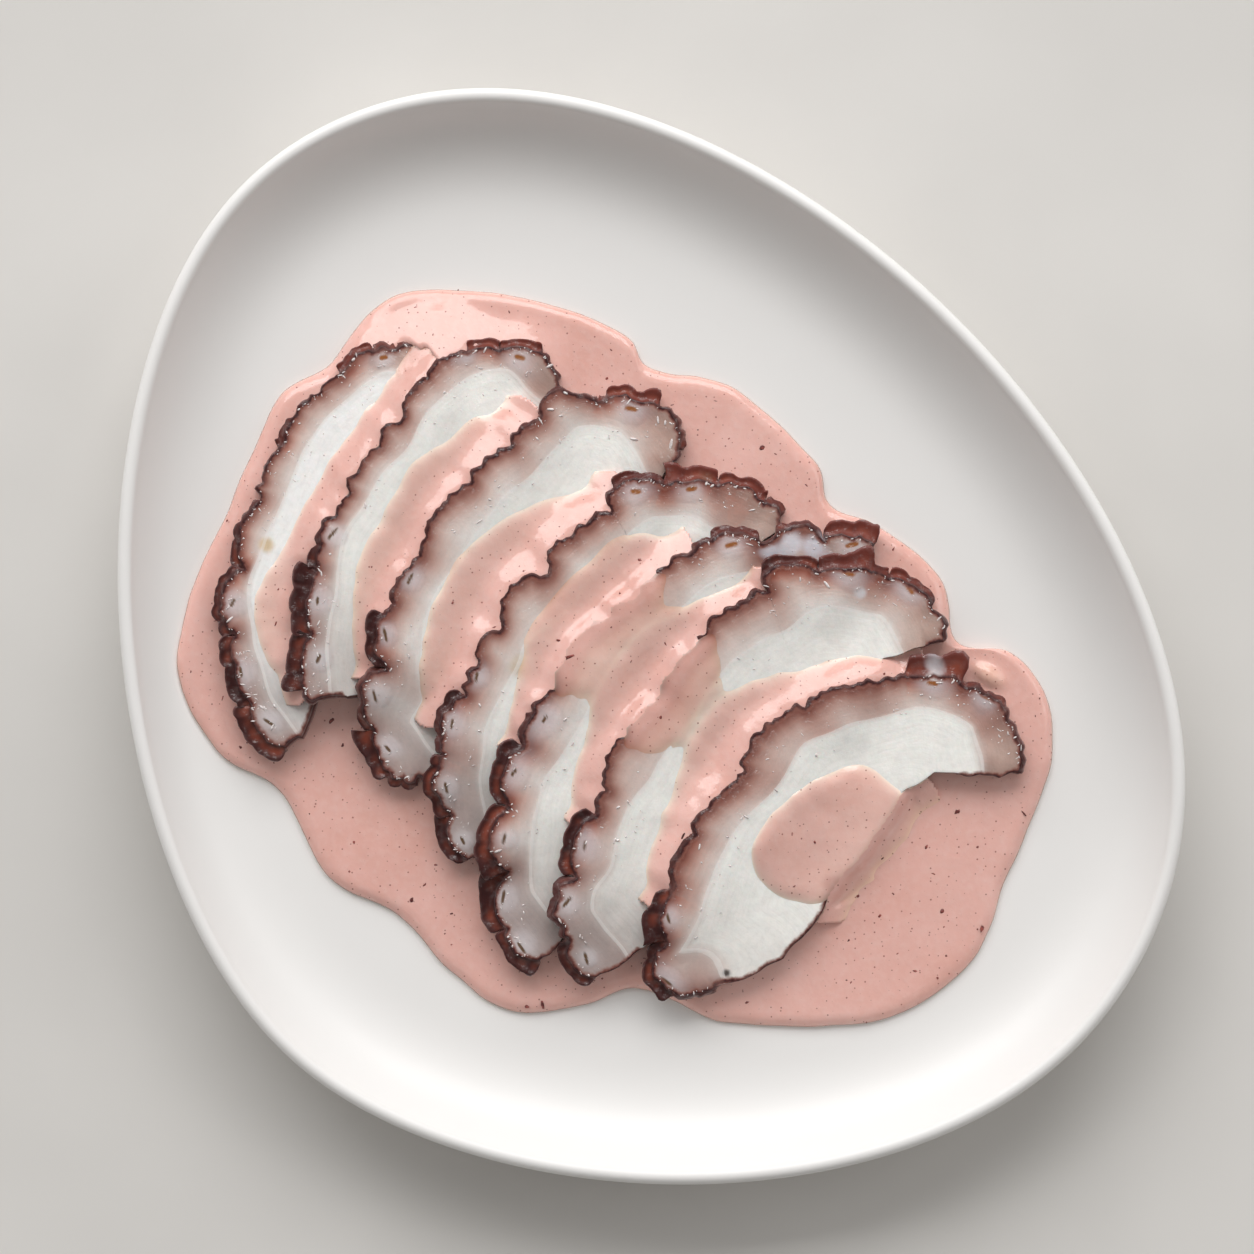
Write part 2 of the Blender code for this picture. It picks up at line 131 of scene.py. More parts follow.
def sample(field, x, y):
    """Reads a field between its cells, by weighting the four nearest ones."""
    column = np.clip((x + HALF) / STEP, 0, len(AXIS) - 1.001)
    row = np.clip((y + HALF) / STEP, 0, len(AXIS) - 1.001)
    left, low = column.astype(int), row.astype(int)
    across, up = column - left, row - low
    lower = field[low, left] * (1 - across) + field[low, left + 1] * across
    upper = field[low + 1, left] * (1 - across) + field[low + 1, left + 1] * across
    return lower * (1 - up) + upper * up


def cells_of(x, y):
    """Row and column of the cells that points fall in."""
    return np.rint((y + HALF) / STEP).astype(int), np.rint((x + HALF) / STEP).astype(int)


def spread(field, reach):
    """The highest value within reach mm, in steps of one cell each way."""
    for _ in range(round(reach / STEP)):
        for axis in (0, 1):
            field = np.maximum(field, np.maximum(np.roll(field, 1, axis), np.roll(field, -1, axis)))
    return field


rng = np.random.default_rng(11)


def uneven(width):
    """Smooth noise of about -1 to 1 over the plan, its lumps about width mm across."""
    field = blurred(rng.standard_normal(GRID_X.shape), width / 2)
    return field / field.std() / 2


FINE, SMALL, MIDDLE, BROAD = (uneven(width) for width in (1.2, 2.6, 6.0, 18.0))
print("height grid:", GRID_X.shape)

# %% [markdown]
# ## From arrays to a mesh
# A surface made on a grid of rows and columns has its faces for free: each cell is a quad. These
# helpers list the quads of such a grid and hand points, faces and values to Blender whole.

# %% Mesh helpers
def quads(index, closed=False):
    """The quads between neighbouring rows and columns of a grid of point numbers.

    They face up where rows run outwards and columns run anticlockwise. A closed grid joins its
    last column to its first.
    """
    if closed:
        index = np.concatenate((index, index[:, :1]), axis=1)
    cells = np.stack((index[:-1, :-1], index[1:, :-1], index[1:, 1:], index[:-1, 1:]), axis=-1)
    return cells.reshape(-1, 4).tolist()


def dish(rings, top, bottom):
    """Points and faces of a solid made of closed rings, from its top middle to its bottom middle."""
    count = len(rings[0])
    points = np.vstack(list(rings) + [[top], [bottom]])
    faces = quads(np.arange(len(rings) * count).reshape(-1, count), closed=True)
    first, last = np.arange(count), np.arange(count) + (len(rings) - 1) * count
    crown, base = np.full(count, len(points) - 2), np.full(count, len(points) - 1)
    faces += np.stack((crown, first, np.roll(first, -1)), axis=1).tolist()
    faces += np.stack((base, np.roll(last, -1), last), axis=1).tolist()
    return points, faces


def make_piece(name, points, faces, material, slot, stands_for=(), **values):
    """A smooth mesh from points in mm; values are numbers or vectors held at each point."""
    mesh = bpy.data.meshes.new(name)
    mesh.from_pydata((np.asarray(points) * MM).tolist(), [], faces)
    for label, value in values.items():
        kind, field = ("FLOAT", "value") if value.ndim == 1 else ("FLOAT_VECTOR", "vector")
        layer = mesh.attributes.new(label, kind, "POINT")
        layer.data.foreach_set(field, np.asarray(value, np.float32).ravel())
    mesh.shade_smooth()
    mesh.materials.append(material)
    obj = bpy.data.objects.new(name, mesh)
    bpy.context.scene.collection.objects.link(obj)
    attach(obj, "root")
    if stands_for:
        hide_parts(*stands_for)
    print(f"{name}: {len(points)} points, {sum(len(face) - 2 for face in faces)} triangles")
    return obj


# %% [markdown]
# ## The pebble plate
# A plate like this is pressed in a mould, so its outline can be any soft shape. Here it is a
# circle with two to five waves in a turn, given by how far its tangent is from the middle at
# each angle. Described that way, drawing the outline in by an even amount is a subtraction, which
# keeps the lip the same width all round, and a point's distance from the outline is the least of
# its distances to the tangents.

# %% The plate's outline and inner surface
PLATE_RADIUS = 121.5
PLATE_WAVES = ((2, 11.5, 49.0), (3, 5.4, 11.6), (4, 0.9, 41.7), (5, 1.0, -9.0))
PLATE_HEIGHT = 20.0
FLOOR_HEIGHT = 6.0
FLOOR_DIP = 0.5
FLOOR_START = 26.0
FLOOR_FLAT = 44.0
LIP_RADIUS = 1.7
LIP_FOOT = PLATE_HEIGHT - LIP_RADIUS
WALL_STEEPEST = np.radians(62.0)
WALL_EASING = 1.5
PLATE_SIDES = 360
TURN = np.linspace(0, 2 * np.pi, PLATE_SIDES, endpoint=False)


def support(angle):
    """Distance of the outline's tangent from the middle, and its slope, at an angle."""
    distance = np.full_like(angle, PLATE_RADIUS)
    slope = np.zeros_like(angle)
    for waves, height, turn in PLATE_WAVES:
        phase = waves * (angle + np.radians(turn))
        distance += height * np.cos(phase)
        slope -= height * waves * np.sin(phase)
    return distance, slope


def tangent_points(angle, distance, slope):
    """Where each tangent touches: distance along its normal, slope along the tangent."""
    x = distance * np.cos(angle) - slope * np.sin(angle)
    y = distance * np.sin(angle) + slope * np.cos(angle)
    return np.stack((x, y), axis=-1)


REACH, REACH_SLOPE = support(TURN)
OUTER = tangent_points(TURN, REACH, REACH_SLOPE)
PLATE_MIDDLE = (OUTER.min(axis=0) + OUTER.max(axis=0)) / 2


def plate_ring(inset, height):
    """The outline drawn in by inset, at a height."""
    ring = tangent_points(TURN, REACH - inset, REACH_SLOPE) - PLATE_MIDDLE
    return np.column_stack((ring, np.full(PLATE_SIDES, height)))


def inset_at(x, y):
    """How far inside the outline a point is."""
    inset = np.full(np.shape(x), np.inf)
    for angle, reach in zip(TURN[::2], REACH[::2]):
        across = (x + PLATE_MIDDLE[0]) * np.cos(angle) + (y + PLATE_MIDDLE[1]) * np.sin(angle)
        inset = np.minimum(inset, reach - across)
    return inset


WALL_INSET = np.linspace(2 * LIP_RADIUS, FLOOR_START, 80)
wall_slope = np.tan(WALL_STEEPEST * np.linspace(1, 0, len(WALL_INSET)) ** WALL_EASING)
wall_fall = np.concatenate(([0.0], np.cumsum((wall_slope[1:] + wall_slope[:-1]) / 2)))
WALL_TOP = FLOOR_HEIGHT + (LIP_FOOT - FLOOR_HEIGHT) * (1 - wall_fall / wall_fall[-1])


def floor_height(inset):
    """Height of the plate's inner surface: the wall, then a floor that dips a little."""
    dip = FLOOR_DIP * smooth(inset, FLOOR_START - 6, FLOOR_FLAT)
    return np.interp(inset, WALL_INSET, WALL_TOP) - dip


GROUND = floor_height(inset_at(GRID_X, GRID_Y))
print("plate outline:", np.round(np.ptp(OUTER, axis=0), 1), "mm")

# %% The plate's section and mesh
FOOT_OUTER = 37.0
FOOT_WIDTH = 5.0
FOOT_BEVEL = 0.7
FOOT_RECESS = 1.4
OUTSIDE_SECTION = ((0.0, 17.8), (1.5, 13.8), (6.5, 7.4), (16.0, 3.4), (29.0, 1.9), (36.5, 1.4))
OUTSIDE_STEPS = 26


def rounded(values, rounds):
    """Evens out a run of numbers: each becomes a quarter of its neighbours and half of itself."""
    for _ in range(rounds):
        values[1:-1] = (values[:-2] + 2 * values[1:-1] + values[2:]) / 4
    return values


def plate_section():
    """(inset, height) from the flat middle, up the wall, over the lip and down to the foot."""
    floor = [(inset, floor_height(inset)) for inset in np.arange(FLOOR_FLAT, FLOOR_START, -2.0)]
    wall = [(inset, floor_height(inset)) for inset in WALL_INSET[::-3]]
    turns = np.radians(np.linspace(0, 180, 15))[1:-1]
    lip = [(LIP_RADIUS * (1 + np.cos(t)), LIP_FOOT + LIP_RADIUS * np.sin(t)) for t in turns]
    share = np.linspace(0, len(OUTSIDE_SECTION) - 1, OUTSIDE_STEPS)
    columns = [np.interp(share, range(len(OUTSIDE_SECTION)), c) for c in zip(*OUTSIDE_SECTION)]
    outside = list(zip(*(rounded(column, 4) for column in columns)))
    inner = FOOT_OUTER + FOOT_WIDTH
    foot = [(FOOT_OUTER, FOOT_RECESS - 0.2), (FOOT_OUTER + FOOT_BEVEL, 0.0), (inner, 0.0)]
    return floor + wall + lip + outside + foot + [(inner + FOOT_BEVEL, FOOT_RECESS)]


plate_rings = [plate_ring(inset, height) for inset, height in plate_section()]
plate_core = plate_ring(FLOOR_FLAT, 0.0)[:, :2].mean(axis=0)
FLAT_HEIGHT = FLOOR_HEIGHT - FLOOR_DIP
for share in (0.75, 0.5, 0.25):
    ring = plate_core + (plate_ring(FLOOR_FLAT, 0.0)[:, :2] - plate_core) * share
    plate_rings.insert(0, np.column_stack((ring, np.full(PLATE_SIDES, FLAT_HEIGHT))))
plate_points, plate_faces = dish(plate_rings, (*plate_core, FLAT_HEIGHT), (*plate_core, FOOT_RECESS))
print("plate rings:", len(plate_rings))

# %% [markdown]
# ## Porcelain
# Glazed porcelain is a white body under a thin clear glass. To the eye it is an even, slightly
# warm white with soft broad reflections, and it shows its making in very shallow waves of the
# glaze. The glaze is the shader's coat, and a faint broad noise bends it.

# %% Glazed porcelain
porcelain, tree, shader = new_material("glazed_porcelain")
shader.inputs["Base Color"].default_value = rgba("#f0eeec")
shader.inputs["Roughness"].default_value = 0.42
shader.inputs["IOR"].default_value = 1.45
shader.inputs["Coat Weight"].default_value = 0.1
shader.inputs["Coat Roughness"].default_value = 0.2
place = node(tree, "ShaderNodeTexCoord").outputs["Object"]
GLAZE_WAVE_MM = 22.0
glaze = node(tree, "ShaderNodeTexNoise", {"Vector": place, "Scale": 1000 / GLAZE_WAVE_MM, "Detail": 2.0})
ripple = node(tree, "ShaderNodeBump", {"Height": glaze.outputs[0], "Distance": 0.0003, "Strength": 0.5})
tree.links.new(ripple.outputs[0], shader.inputs["Normal"])
make_piece("pebble_plate", plate_points, plate_faces, porcelain, "porcelain", ["plate"])

# %% [markdown]
# ## The slices' outlines
# A slanting cut through an octopus arm shows white muscle with a thin dark skin, and along one
# side the suckers, cut through as round lobes whose cups flare out beyond the cut face. Each
# slice is drawn by the notches between its lobes. Between two notches the skin bulges by a flat
# crown, and the wall's flare follows the same crown. The inner edge lies under the next slice.

# %% Notches of the skin edge, and the inner edge
# Each row: x and y of a notch, how far the skin bulges before the next one, and how far the wall
# stands out there. They run from the slice's far end round the outside to its near end.
SKIN_EDGES = {
    1: (
        (-49, 62, 1.6, 1.8), (-57, 64, 1, 2), (-62.5, 63.5, 1.5, 2.2), (-69.5, 58.5, 0.4, 0.5),
        (-75.5, 54, 0.5, 0.6), (-80.5, 49, 0.5, 2.3), (-83, 42, 0.4, 0.5), (-85.5, 38.5, 0.4, 0.4),
        (-88, 30.5, 0.6, 1), (-91.5, 25.5, 0.8, 2.2), (-91.5, 15, 4, 2.3), (-93, 0, 2.8, 3.2),
        (-89, -15, 2.8, 4.3), (-82, -24.5, 0.6, 0.8),
    ),
    2: (
        (-21, 57.5, 0.5, 1), (-24.5, 63.5, 1.2, 2.7), (-34, 64, 1, 2.8), (-41, 63.5, 0.5, 0.8),
        (-47, 61.5, 0.5, 0.8), (-49.5, 57.5, 0.8, 0.8), (-54.5, 52.5, 0.5, 0.6), (-61, 42.5, 0.5, 0.4),
        (-67.5, 34, 0.5, 0.5), (-68.5, 29.5, 0.5, 0.6), (-73.5, 23, 0.8, 2.2), (-74, 15, 1.8, 5),
        (-75.5, 0.5, 1.6, 4.8), (-77.5, -12, 0.5, 0.6), (-75.5, -14.5, 0.6, 0.3),
    ),
    3: (
        (6, 42, 0.8, 1.6), (4, 49.5, 0.4, 0.6), (1.5, 51.5, 1, 3.2), (-10, 53.5, -0.5, 2),
        (-12.5, 52, 1.8, 1), (-23.5, 53.5, 0.5, 0.6), (-24, 49, 0.6, 0.8), (-34, 40.5, 0.7, 0.9),
        (-42.5, 33, 0.5, 0.5), (-48.5, 26, 0.6, 0.7), (-51, 17.5, 0.5, 0.5), (-55.5, 13, 0.9, 1),
        (-57, 7, 0.5, 0.8), (-60, 5, 1.8, 2.8), (-60, -7, 3.8, 1.6), (-61.5, -20.5, 1.8, 4.3),
        (-58, -31, 0.8, 1.8), (-53, -32.5, 0.4, 0.4),
    ),
    4: (
        (29, 27, 0.5, 2), (26, 30.5, 1.2, 3), (15, 34, 1, 4.6), (2.5, 33.5, 1.8, 2.4),
        (-8.5, 33, 0.4, 0.9), (-9, 27.5, 0.9, 1), (-14.5, 24.5, 0.6, 0.7), (-23.5, 18, 0.5, 0.8),
        (-23, 14, 0.8, 0.6), (-32, 10, 0.7, 0.6), (-33, 3, 0.4, 0.4), (-39, -3, 0.5, 0.6),
        (-39, -7, 0.9, 1), (-41.5, -13, 3.4, 2.2), (-46, -26.5, 3.6, 2.8), (-44, -40, 3, 3.2),
        (-41, -50, 0.4, 0.4),
    ),
    5: (
        (50, 20.5, 1.2, 4.5), (39.5, 22, -1, 0.8), (38, 21.5, 2.6, 1.6), (28.5, 22.5, -0.8, 0.6),
        (24, 22, 1.4, 2), (13.5, 21, 0.6, 1.2), (9.5, 19.5, 0.5, 0.5), (-3, 10, 0.6, 0.4),
        (-15, 0.5, 0.5, 0.5), (-21.5, -8, 0.4, 0.8), (-20.5, -12, 0.8, 0.9), (-26, -17, 0.8, 1.8),
        (-28.5, -24.5, 3, 3.4), (-31.5, -38, 3.2, 4), (-33.5, -53, 2, 4.8), (-32.5, -65.5, 2.8, 3.4),
        (-25, -72.5, 0.4, 0.4),
    ),
    6: (
        (65.5, -1, 0.5, 0.8), (64, 7, 1.2, 2.4), (53, 13.5, 0.4, 2.5), (49.5, 14, 1, 4.8),
        (37, 14, 2.2, 2.8), (25.5, 13.5, 0.4, 0.9), (26, 10, 0.7, 0.9), (15.5, 4.5, 0.6, 0.7),
        (10.5, -1, 0.5, 0.4), (0, -15, 0.5, 0.4), (-8.5, -26, 0.7, 0.6), (-10, -34.5, 0.6, 1),
        (-12.5, -40, 2.4, 3.2), (-17, -53.5, 4.2, 1.8), (-18, -67, 2.8, 2.6), (-12.5, -76.5, 0.8, 0.4),
    ),
    7: (
        (82.5, -30.5, 0.6, 1), (82, -23, 0.5, 1.2), (78.5, -16.5, 0.9, 1.4), (69, -10, 1, 6.2),
        (57, -9.5, 0.9, 0.9), (46, -11.5, 0.8, 0.9), (34, -15.5, 0.7, 0.6), (27, -19.5, 0.6, 0.6),
        (22, -24, 0.6, 0.5), (21, -29.5, 0.3, 0.4), (14, -37, 0.7, 0.8), (9.5, -44, 1.6, 1.8),
        (5, -57, 2.4, 5), (4, -68.5, 4.3, 3), (5.5, -80, 0.6, 1), (14, -79, 0.5, 0.4),
    ),
}  # fmt: skip
INNER_EDGES = {
    1: ((-46.5, 58.5), (-47, 50), (-54, 40), (-60, 30), (-65, 20), (-68, 8), (-70.5, -4),
        (-76, -15.5), (-78.5, -22.5)),
    2: ((-19.5, 54), (-24, 46), (-37, 28), (-44, 18), (-49, 8), (-53, -3), (-59, -11),
        (-68, -13.5)),
    3: ((3, 37), (-1, 30), (-12, 20), (-22.5, 9), (-27.5, -1), (-33, -10), (-39.5, -20),
        (-45.5, -29), (-51, -32)),
    4: ((29, 24), (20.5, 17.5), (8, 9.5), (-5.5, 0), (-12.5, -10), (-19.5, -20), (-25, -30),
        (-28, -40), (-33.5, -47.5), (-39.5, -49.5)),
    5: ((47.5, 16.5), (41, 11), (33.5, 5), (21, -3), (12.5, -10), (4.5, -20), (-1, -30),
        (-5, -40), (-10.5, -50), (-14.5, -60), (-23, -71.5)),
    6: ((59.5, -2.5), (52, -5), (45.5, -14), (38, -22), (30, -32), (21.5, -43), (15, -52),
        (9, -61), (0, -68.5), (-6.5, -73.5)),
    7: ((78, -31.5), (63.5, -30.5), (56.5, -35), (48, -47), (40.5, -55.5), (37, -64.5),
        (29.5, -72), (19.5, -77.5)),
}  # fmt: skip
print("notches in all:", sum(len(rows) for rows in SKIN_EDGES.values()))

# %% Outline functions
ROWS = 340
COLUMNS = 56
BULGE_POWER = 2.6
RIM_POWER = 12.0
RIM_HOLLOW = 0.66
NOTCH_SAMPLES = 24
FIRST_SHARE = 0.5


def smooth_curve(corners, count, closed=True):
    """A Catmull-Rom curve through corners, count points at even steps of its parameter."""
    corners = np.array(corners, float)
    spans = len(corners) - (0 if closed else 1)
    place = np.linspace(0, spans, count, endpoint=not closed)
    first = np.minimum(place.astype(int), spans - 1)
    share = (place - first)[:, None]
    ends = [first + step for step in (-1, 0, 1, 2)]
    ends = [end % spans if closed else np.clip(end, 0, spans) for end in ends]
    a, b, c, d = (corners[end] for end in ends)
    cubic = 3 * (b - c) + d - a
    return b + share / 2 * (c - a + share * (2 * a - 5 * b + 4 * c - d + share * cubic))


def evenly(points, count, *values):
    """Points spaced evenly along a line, with any values that it carries."""
    steps = np.linalg.norm(np.diff(points, axis=0), axis=1)
    length = np.concatenate(([0.0], np.cumsum(steps)))
    even = np.linspace(0, length[-1], count)
    return [
        np.stack([np.interp(even, length, points[:, axis]) for axis in (0, 1)], axis=1),
        *(np.interp(even, length, value) for value in values),
    ]


def outward(line, window):
    """Unit vectors to the right of a line, read over a window of points so that they turn slowly."""
    ahead = np.concatenate((line[window:], np.repeat(line[-1:], window, axis=0)))
    behind = np.concatenate((np.repeat(line[:1], window, axis=0), line[:-window]))
    along = ahead - behind
    normal = np.stack((along[:, 1], -along[:, 0]), axis=1)
    return normal / np.linalg.norm(normal, axis=1, keepdims=True)


def skin_line(notches):
    """The scalloped skin edge, evenly spaced, with the horns of its rims and its flare in mm.

    Between notches a and b it is a + t (b - a) + bulge (1 - |2t - 1|^2.6) outwards. The flare is
    squarer, (1 - |2t - 1|^12), and hollow in its middle, so that it has two corners, the horns.
    Noise then frills the line: the fold of |noise| gives it small points, as cooked skin shrinks
    unevenly.
    """
    share = np.arange(NOTCH_SAMPLES) / NOTCH_SAMPLES
    away = np.abs(2 * share - 1)
    crown = 1 - away**BULGE_POWER
    square = (1 - away**RIM_POWER) * (RIM_HOLLOW + (1 - RIM_HOLLOW) * away**3)
    corner = smooth(away, 0.4, 0.85) * (1 - away**RIM_POWER)
    points, horns, flares = [], [], []
    for (x0, y0, bulge, flare), (x1, y1, _, _) in zip(notches, notches[1:]):
        along = np.array((x1 - x0, y1 - y0), float)
        out = np.array((along[1], -along[0])) / np.linalg.norm(along)
        points.append(np.array((x0, y0)) + share[:, None] * along + bulge * crown[:, None] * out)
        horns.append(corner * smooth(np.full_like(away, flare), 1.2, 3.0))
        lean = rng.uniform(-0.35, 0.35) * (2 * share - 1)
        flares.append(1.12 * flare * square * (1 + lean))
    points.append([notches[-1][:2]])
    line, horn, flare = evenly(
        np.vstack(points), ROWS, np.append(horns, 0.0), np.append(flares, 0.0)
    )
    frill = 1.3 * (0.35 - np.abs(sample(SMALL, *line.T))) + 0.45 * sample(FINE, *line.T)
    frill *= 1 - 0.4 * smooth(flare, 0.8, 2.5)
    frill *= smooth(np.arange(ROWS), 0, 8) * (1 - smooth(np.arange(ROWS), ROWS - 9, ROWS - 1))
    return line + outward(line, 4) * frill[:, None], horn, flare


def nearest(points, line):
    """Distance from each point to a line, and the number of the line's nearest point.

    The gap to the nearest point is too long by the part that runs along the line, which is taken
    off: distance^2 = gap^2 - along^2.
    """
    gap = sum((points[:, None, axis] - line[None, :, axis]) ** 2 for axis in (0, 1))
    number = gap.argmin(axis=1)
    gap = gap[np.arange(len(points)), number]
    tangent = outward(line, 1)[number] @ np.array(((0, 1), (-1, 0)))
    along = ((points - line[number]) * tangent).sum(axis=1)
    limit = np.linalg.norm(line[1] - line[0]) / 2
    return np.sqrt(np.maximum(gap - np.minimum(np.abs(along), limit) ** 2, 0.0)), number


ACROSS = np.linspace(0, 1, COLUMNS)
ACROSS = FIRST_SHARE * ACROSS + (1 - FIRST_SHARE) * ACROSS**2


def face_plan(number):
    """The cut face in plan: rows from the skin edge straight across to the inner edge."""
    skin, horn, flare = skin_line(SKIN_EDGES[number])
    inner, = evenly(np.array(INNER_EDGES[number], float), ROWS)
    inner += outward(inner, 8) * 0.5 * sample(SMALL, *inner.T)[:, None]
    plan = skin[:, None] * (1 - ACROSS[None, :, None]) + inner[:, None] * ACROSS[None, :, None]
    # The two ends are torn rather than cut straight.
    torn = 1 - smooth(np.minimum(np.arange(ROWS), ROWS - 1 - np.arange(ROWS)), 0, 16)
    torn = torn[:, None] * np.sin(np.pi * ACROSS) ** 0.5
    wander = [sample(field, *np.moveaxis(plan, -1, 0)) for field in (SMALL, MIDDLE)]
    plan += 0.9 * torn[..., None] * np.stack(wander, axis=-1)
    return plan, horn, flare


PLANS = {number: face_plan(number) for number in SKIN_EDGES}
print("rows and columns of a face:", ROWS, COLUMNS)

# %% [markdown]
# ## How high the slices lie
# The solids were draped over each other, so their tops hold the heights. A lattice of points on
# each triangle reads them into a field, and a blur that only counts cells inside the slice turns
# the facets into one soft sheet.

# %% Heights from the solids
LATTICE = 24
DRAPE_BLUR = 2.2
EDGE_KEPT_OUT = 1.0


def top_of(name):
    """The height field of a solid's top: points i/n, j/n across each triangle, the highest kept."""
    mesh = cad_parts[name].data
    mesh.calc_loop_triangles()
    corners = np.empty(len(mesh.loop_triangles) * 3, np.int32)
    mesh.loop_triangles.foreach_get("vertices", corners)
    points = np.empty(len(mesh.vertices) * 3)
    mesh.vertices.foreach_get("co", points)
    a, b, c = np.moveaxis(points.reshape(-1, 3)[corners.reshape(-1, 3)] / MM, 1, 0)
    i, j = (axis.ravel() for axis in np.meshgrid(np.arange(LATTICE + 1), np.arange(LATTICE + 1)))
    i, j = i[i + j <= LATTICE] / LATTICE, j[i + j <= LATTICE] / LATTICE
    spots = (
        a[:, None] + i[None, :, None] * (b - a)[:, None] + j[None, :, None] * (c - a)[:, None]
    ).reshape(-1, 3)
    field = np.full(GRID_X.shape, -1.0)
    np.maximum.at(field, cells_of(spots[:, 0], spots[:, 1]), spots[:, 2])
    return field


def draped_height(number):
    """The soft height field of one slice's cut face, running on a little past its outline."""
    plan, _, _ = PLANS[number]
    points = plan.reshape(-1, 2)
    border = np.concatenate((plan[:, 0], plan[:, -1], plan[0], plan[-1]))
    inside = nearest(points, border[::2])[0] > EDGE_KEPT_OUT
    weight = np.zeros(GRID_X.shape)
    weight[cells_of(*points[inside].T)] = 1.0
    height = top_of(f"slice_{number}")
    weight *= height > 0
    near = blurred(weight, DRAPE_BLUR)
    far = blurred(weight, 4 * DRAPE_BLUR)
    close = blurred(weight * height, DRAPE_BLUR) / np.maximum(near, 1e-9)
    wide = blurred(weight * height, 4 * DRAPE_BLUR) / np.maximum(far, 1e-9)
    return np.where(near > 0.02, close, wide)


HEIGHTS = {number: draped_height(number) for number in SKIN_EDGES}
for number, field in HEIGHTS.items():
    plan = PLANS[number][0].reshape(-1, 2)
    height = sample(field, *plan.T)
    print(f"slice {number}: {height.min():.1f} to {height.max():.1f} mm high")

# %% [markdown]
# ## Suckers
# Where the cut passes through a sucker there is a pale firm lump, and the sucker's hollow shows as a short slit in
# it, painted dark olive-brown: partly its own colour, partly painted shade in the hollow. At the far ends a few
# suckers are cooked to amber. The places follow the lobes of the outlines above.

# %% Places of the suckers
WHITE_SUCKERS = {
    1: ((-93.8, 7.5), (-92.0, -8.0), (-85.7, -19.3)),
    2: ((-71.1, 22.9), (-74.5, 7.9), (-74.3, -5.0)),
    3: ((-53.8, 12.8), (-59.3, 0.3), (-61.8, -13.4), (-59.1, -25.2)),
    4: ((-39.0, -9.0), (-44.5, -19.6), (-45.9, -33.9), (-42.3, -45.8)),
    5: ((-23.8, -18.5), (-30.7, -30.4), (-32.9, -45.1), (-33.2, -58.5), (-29.1, -69.9)),
    6: ((-14.9, -46.7), (-18.9, -59.4), (-14.6, -72.2)),
    7: ((3.8, -63.0), (3.4, -77.4)),
}
AMBER_SUCKERS = {
    1: ((-60.0, 62.5),),
    2: ((-41.8, 63.6), (-29.5, 62.5)),
    3: ((-4.5, 51.0),),
    4: ((-3.5, 32.3), (9.0, 33.0)),
    5: ((17.8, 20.4), (45.0, 20.5)),
    6: ((44.0, 14.0), (58.0, 10.5)),
    7: ((63.0, -10.5), (75.0, -13.5)),
}
LUMP_REACH = 2.8
RING_RADIUS = 2.9
SLIT_LENGTH = 2.9
SLIT_WIDTH = 0.62
CUP_WIDTH = 1.1


def sucker_marks(points, centres, line, wide_slit):
    """How far a point is up a sucker's lump, on the ring round it, and in its slit, each 0 to 1.

    The lump is exp(-(r/2.8)^2.6), the ring exp(-((r - 2.9)/0.4)^2) on one side, and the slit a
    thin ellipse that runs along the skin line.
    """
    lump, ring, slit = np.zeros((3, len(points)))
    out = outward(line, 14)
    for centre in np.array(centres):
        away = points - centre
        across = out[nearest(centre[None], line)[1][0]]
        tilt = rng.uniform(-0.4, 0.4)
        across = np.array(((np.cos(tilt), np.sin(tilt)), (-np.sin(tilt), np.cos(tilt)))) @ across
        out_mm, along_mm = away @ across, away @ np.array((-across[1], across[0]))
        r = np.hypot(out_mm + 0.5, along_mm * rng.uniform(0.75, 1)) * rng.uniform(0.85, 1.2)
        r = r * (1 + 0.25 * sample(MIDDLE, *points.T) + 0.1 * sample(SMALL, *points.T))
        lump = np.maximum(lump, np.exp(-((r / LUMP_REACH) ** 2.6)))
        one_side = smooth(-out_mm * rng.uniform(0.6, 1.2) + along_mm * rng.uniform(-1, 1), -1, 1.5)
        ring = np.maximum(ring, np.exp(-(((r - RING_RADIUS) / 0.4) ** 2)) * one_side)
        length = SLIT_LENGTH * rng.uniform(0.6, 1.1) / 2
        slit = np.maximum(slit, np.exp(-((along_mm / length) ** 4) - (out_mm / wide_slit * 2) ** 2))
    return lump, ring, slit


print("suckers:", sum(len(places) for places in (*WHITE_SUCKERS.values(), *AMBER_SUCKERS.values())))

# %% [markdown]
# ## Cooked octopus
# The cut muscle is a pearly, slightly translucent white with fine fibres along the arm's edge.
# Towards the skin the boiled-in colour turns it rose and then brown, and the skin is a wet,
# almost black purple line. The shader reads three lengths kept at every point: s along the slice,
# d in from the skin and w in from the border of the white core. Interpolated between points, they
# draw far finer lines than the mesh could hold as colours.

# %% Boiled octopus, wet
octopus, tree, shader = new_material("boiled_octopus")
tone = node(tree, "ShaderNodeAttribute", attribute_name="tone").outputs["Vector"]
lengths = node(tree, "ShaderNodeAttribute", attribute_name="lengths").outputs["Vector"]
place = node(tree, "ShaderNodeTexCoord").outputs["Object"]
split = node(tree, "ShaderNodeSeparateXYZ", {"Vector": lengths})
depth, inward = split.outputs["Y"], split.outputs["Z"]

WARP_MM = 1.1
warp = node(tree, "ShaderNodeTexNoise", {"Vector": place, "Scale": 1000 / WARP_MM, "Detail": 3.0})
shift = node(
    tree, "ShaderNodeMapRange", {"Value": warp.outputs[0], 1: 0.25, 2: 0.75, 3: -0.28, 4: 0.28}
)
depth_mm = node(
    tree, "ShaderNodeMath", {0: depth, 1: 1000.0, 2: shift.outputs[0]}, operation="MULTIPLY_ADD"
).outputs[0]
RAMP_MM = 2.0
share = node(tree, "ShaderNodeMath", {0: depth_mm, 1: 1 / RAMP_MM}, operation="MULTIPLY").outputs[0]


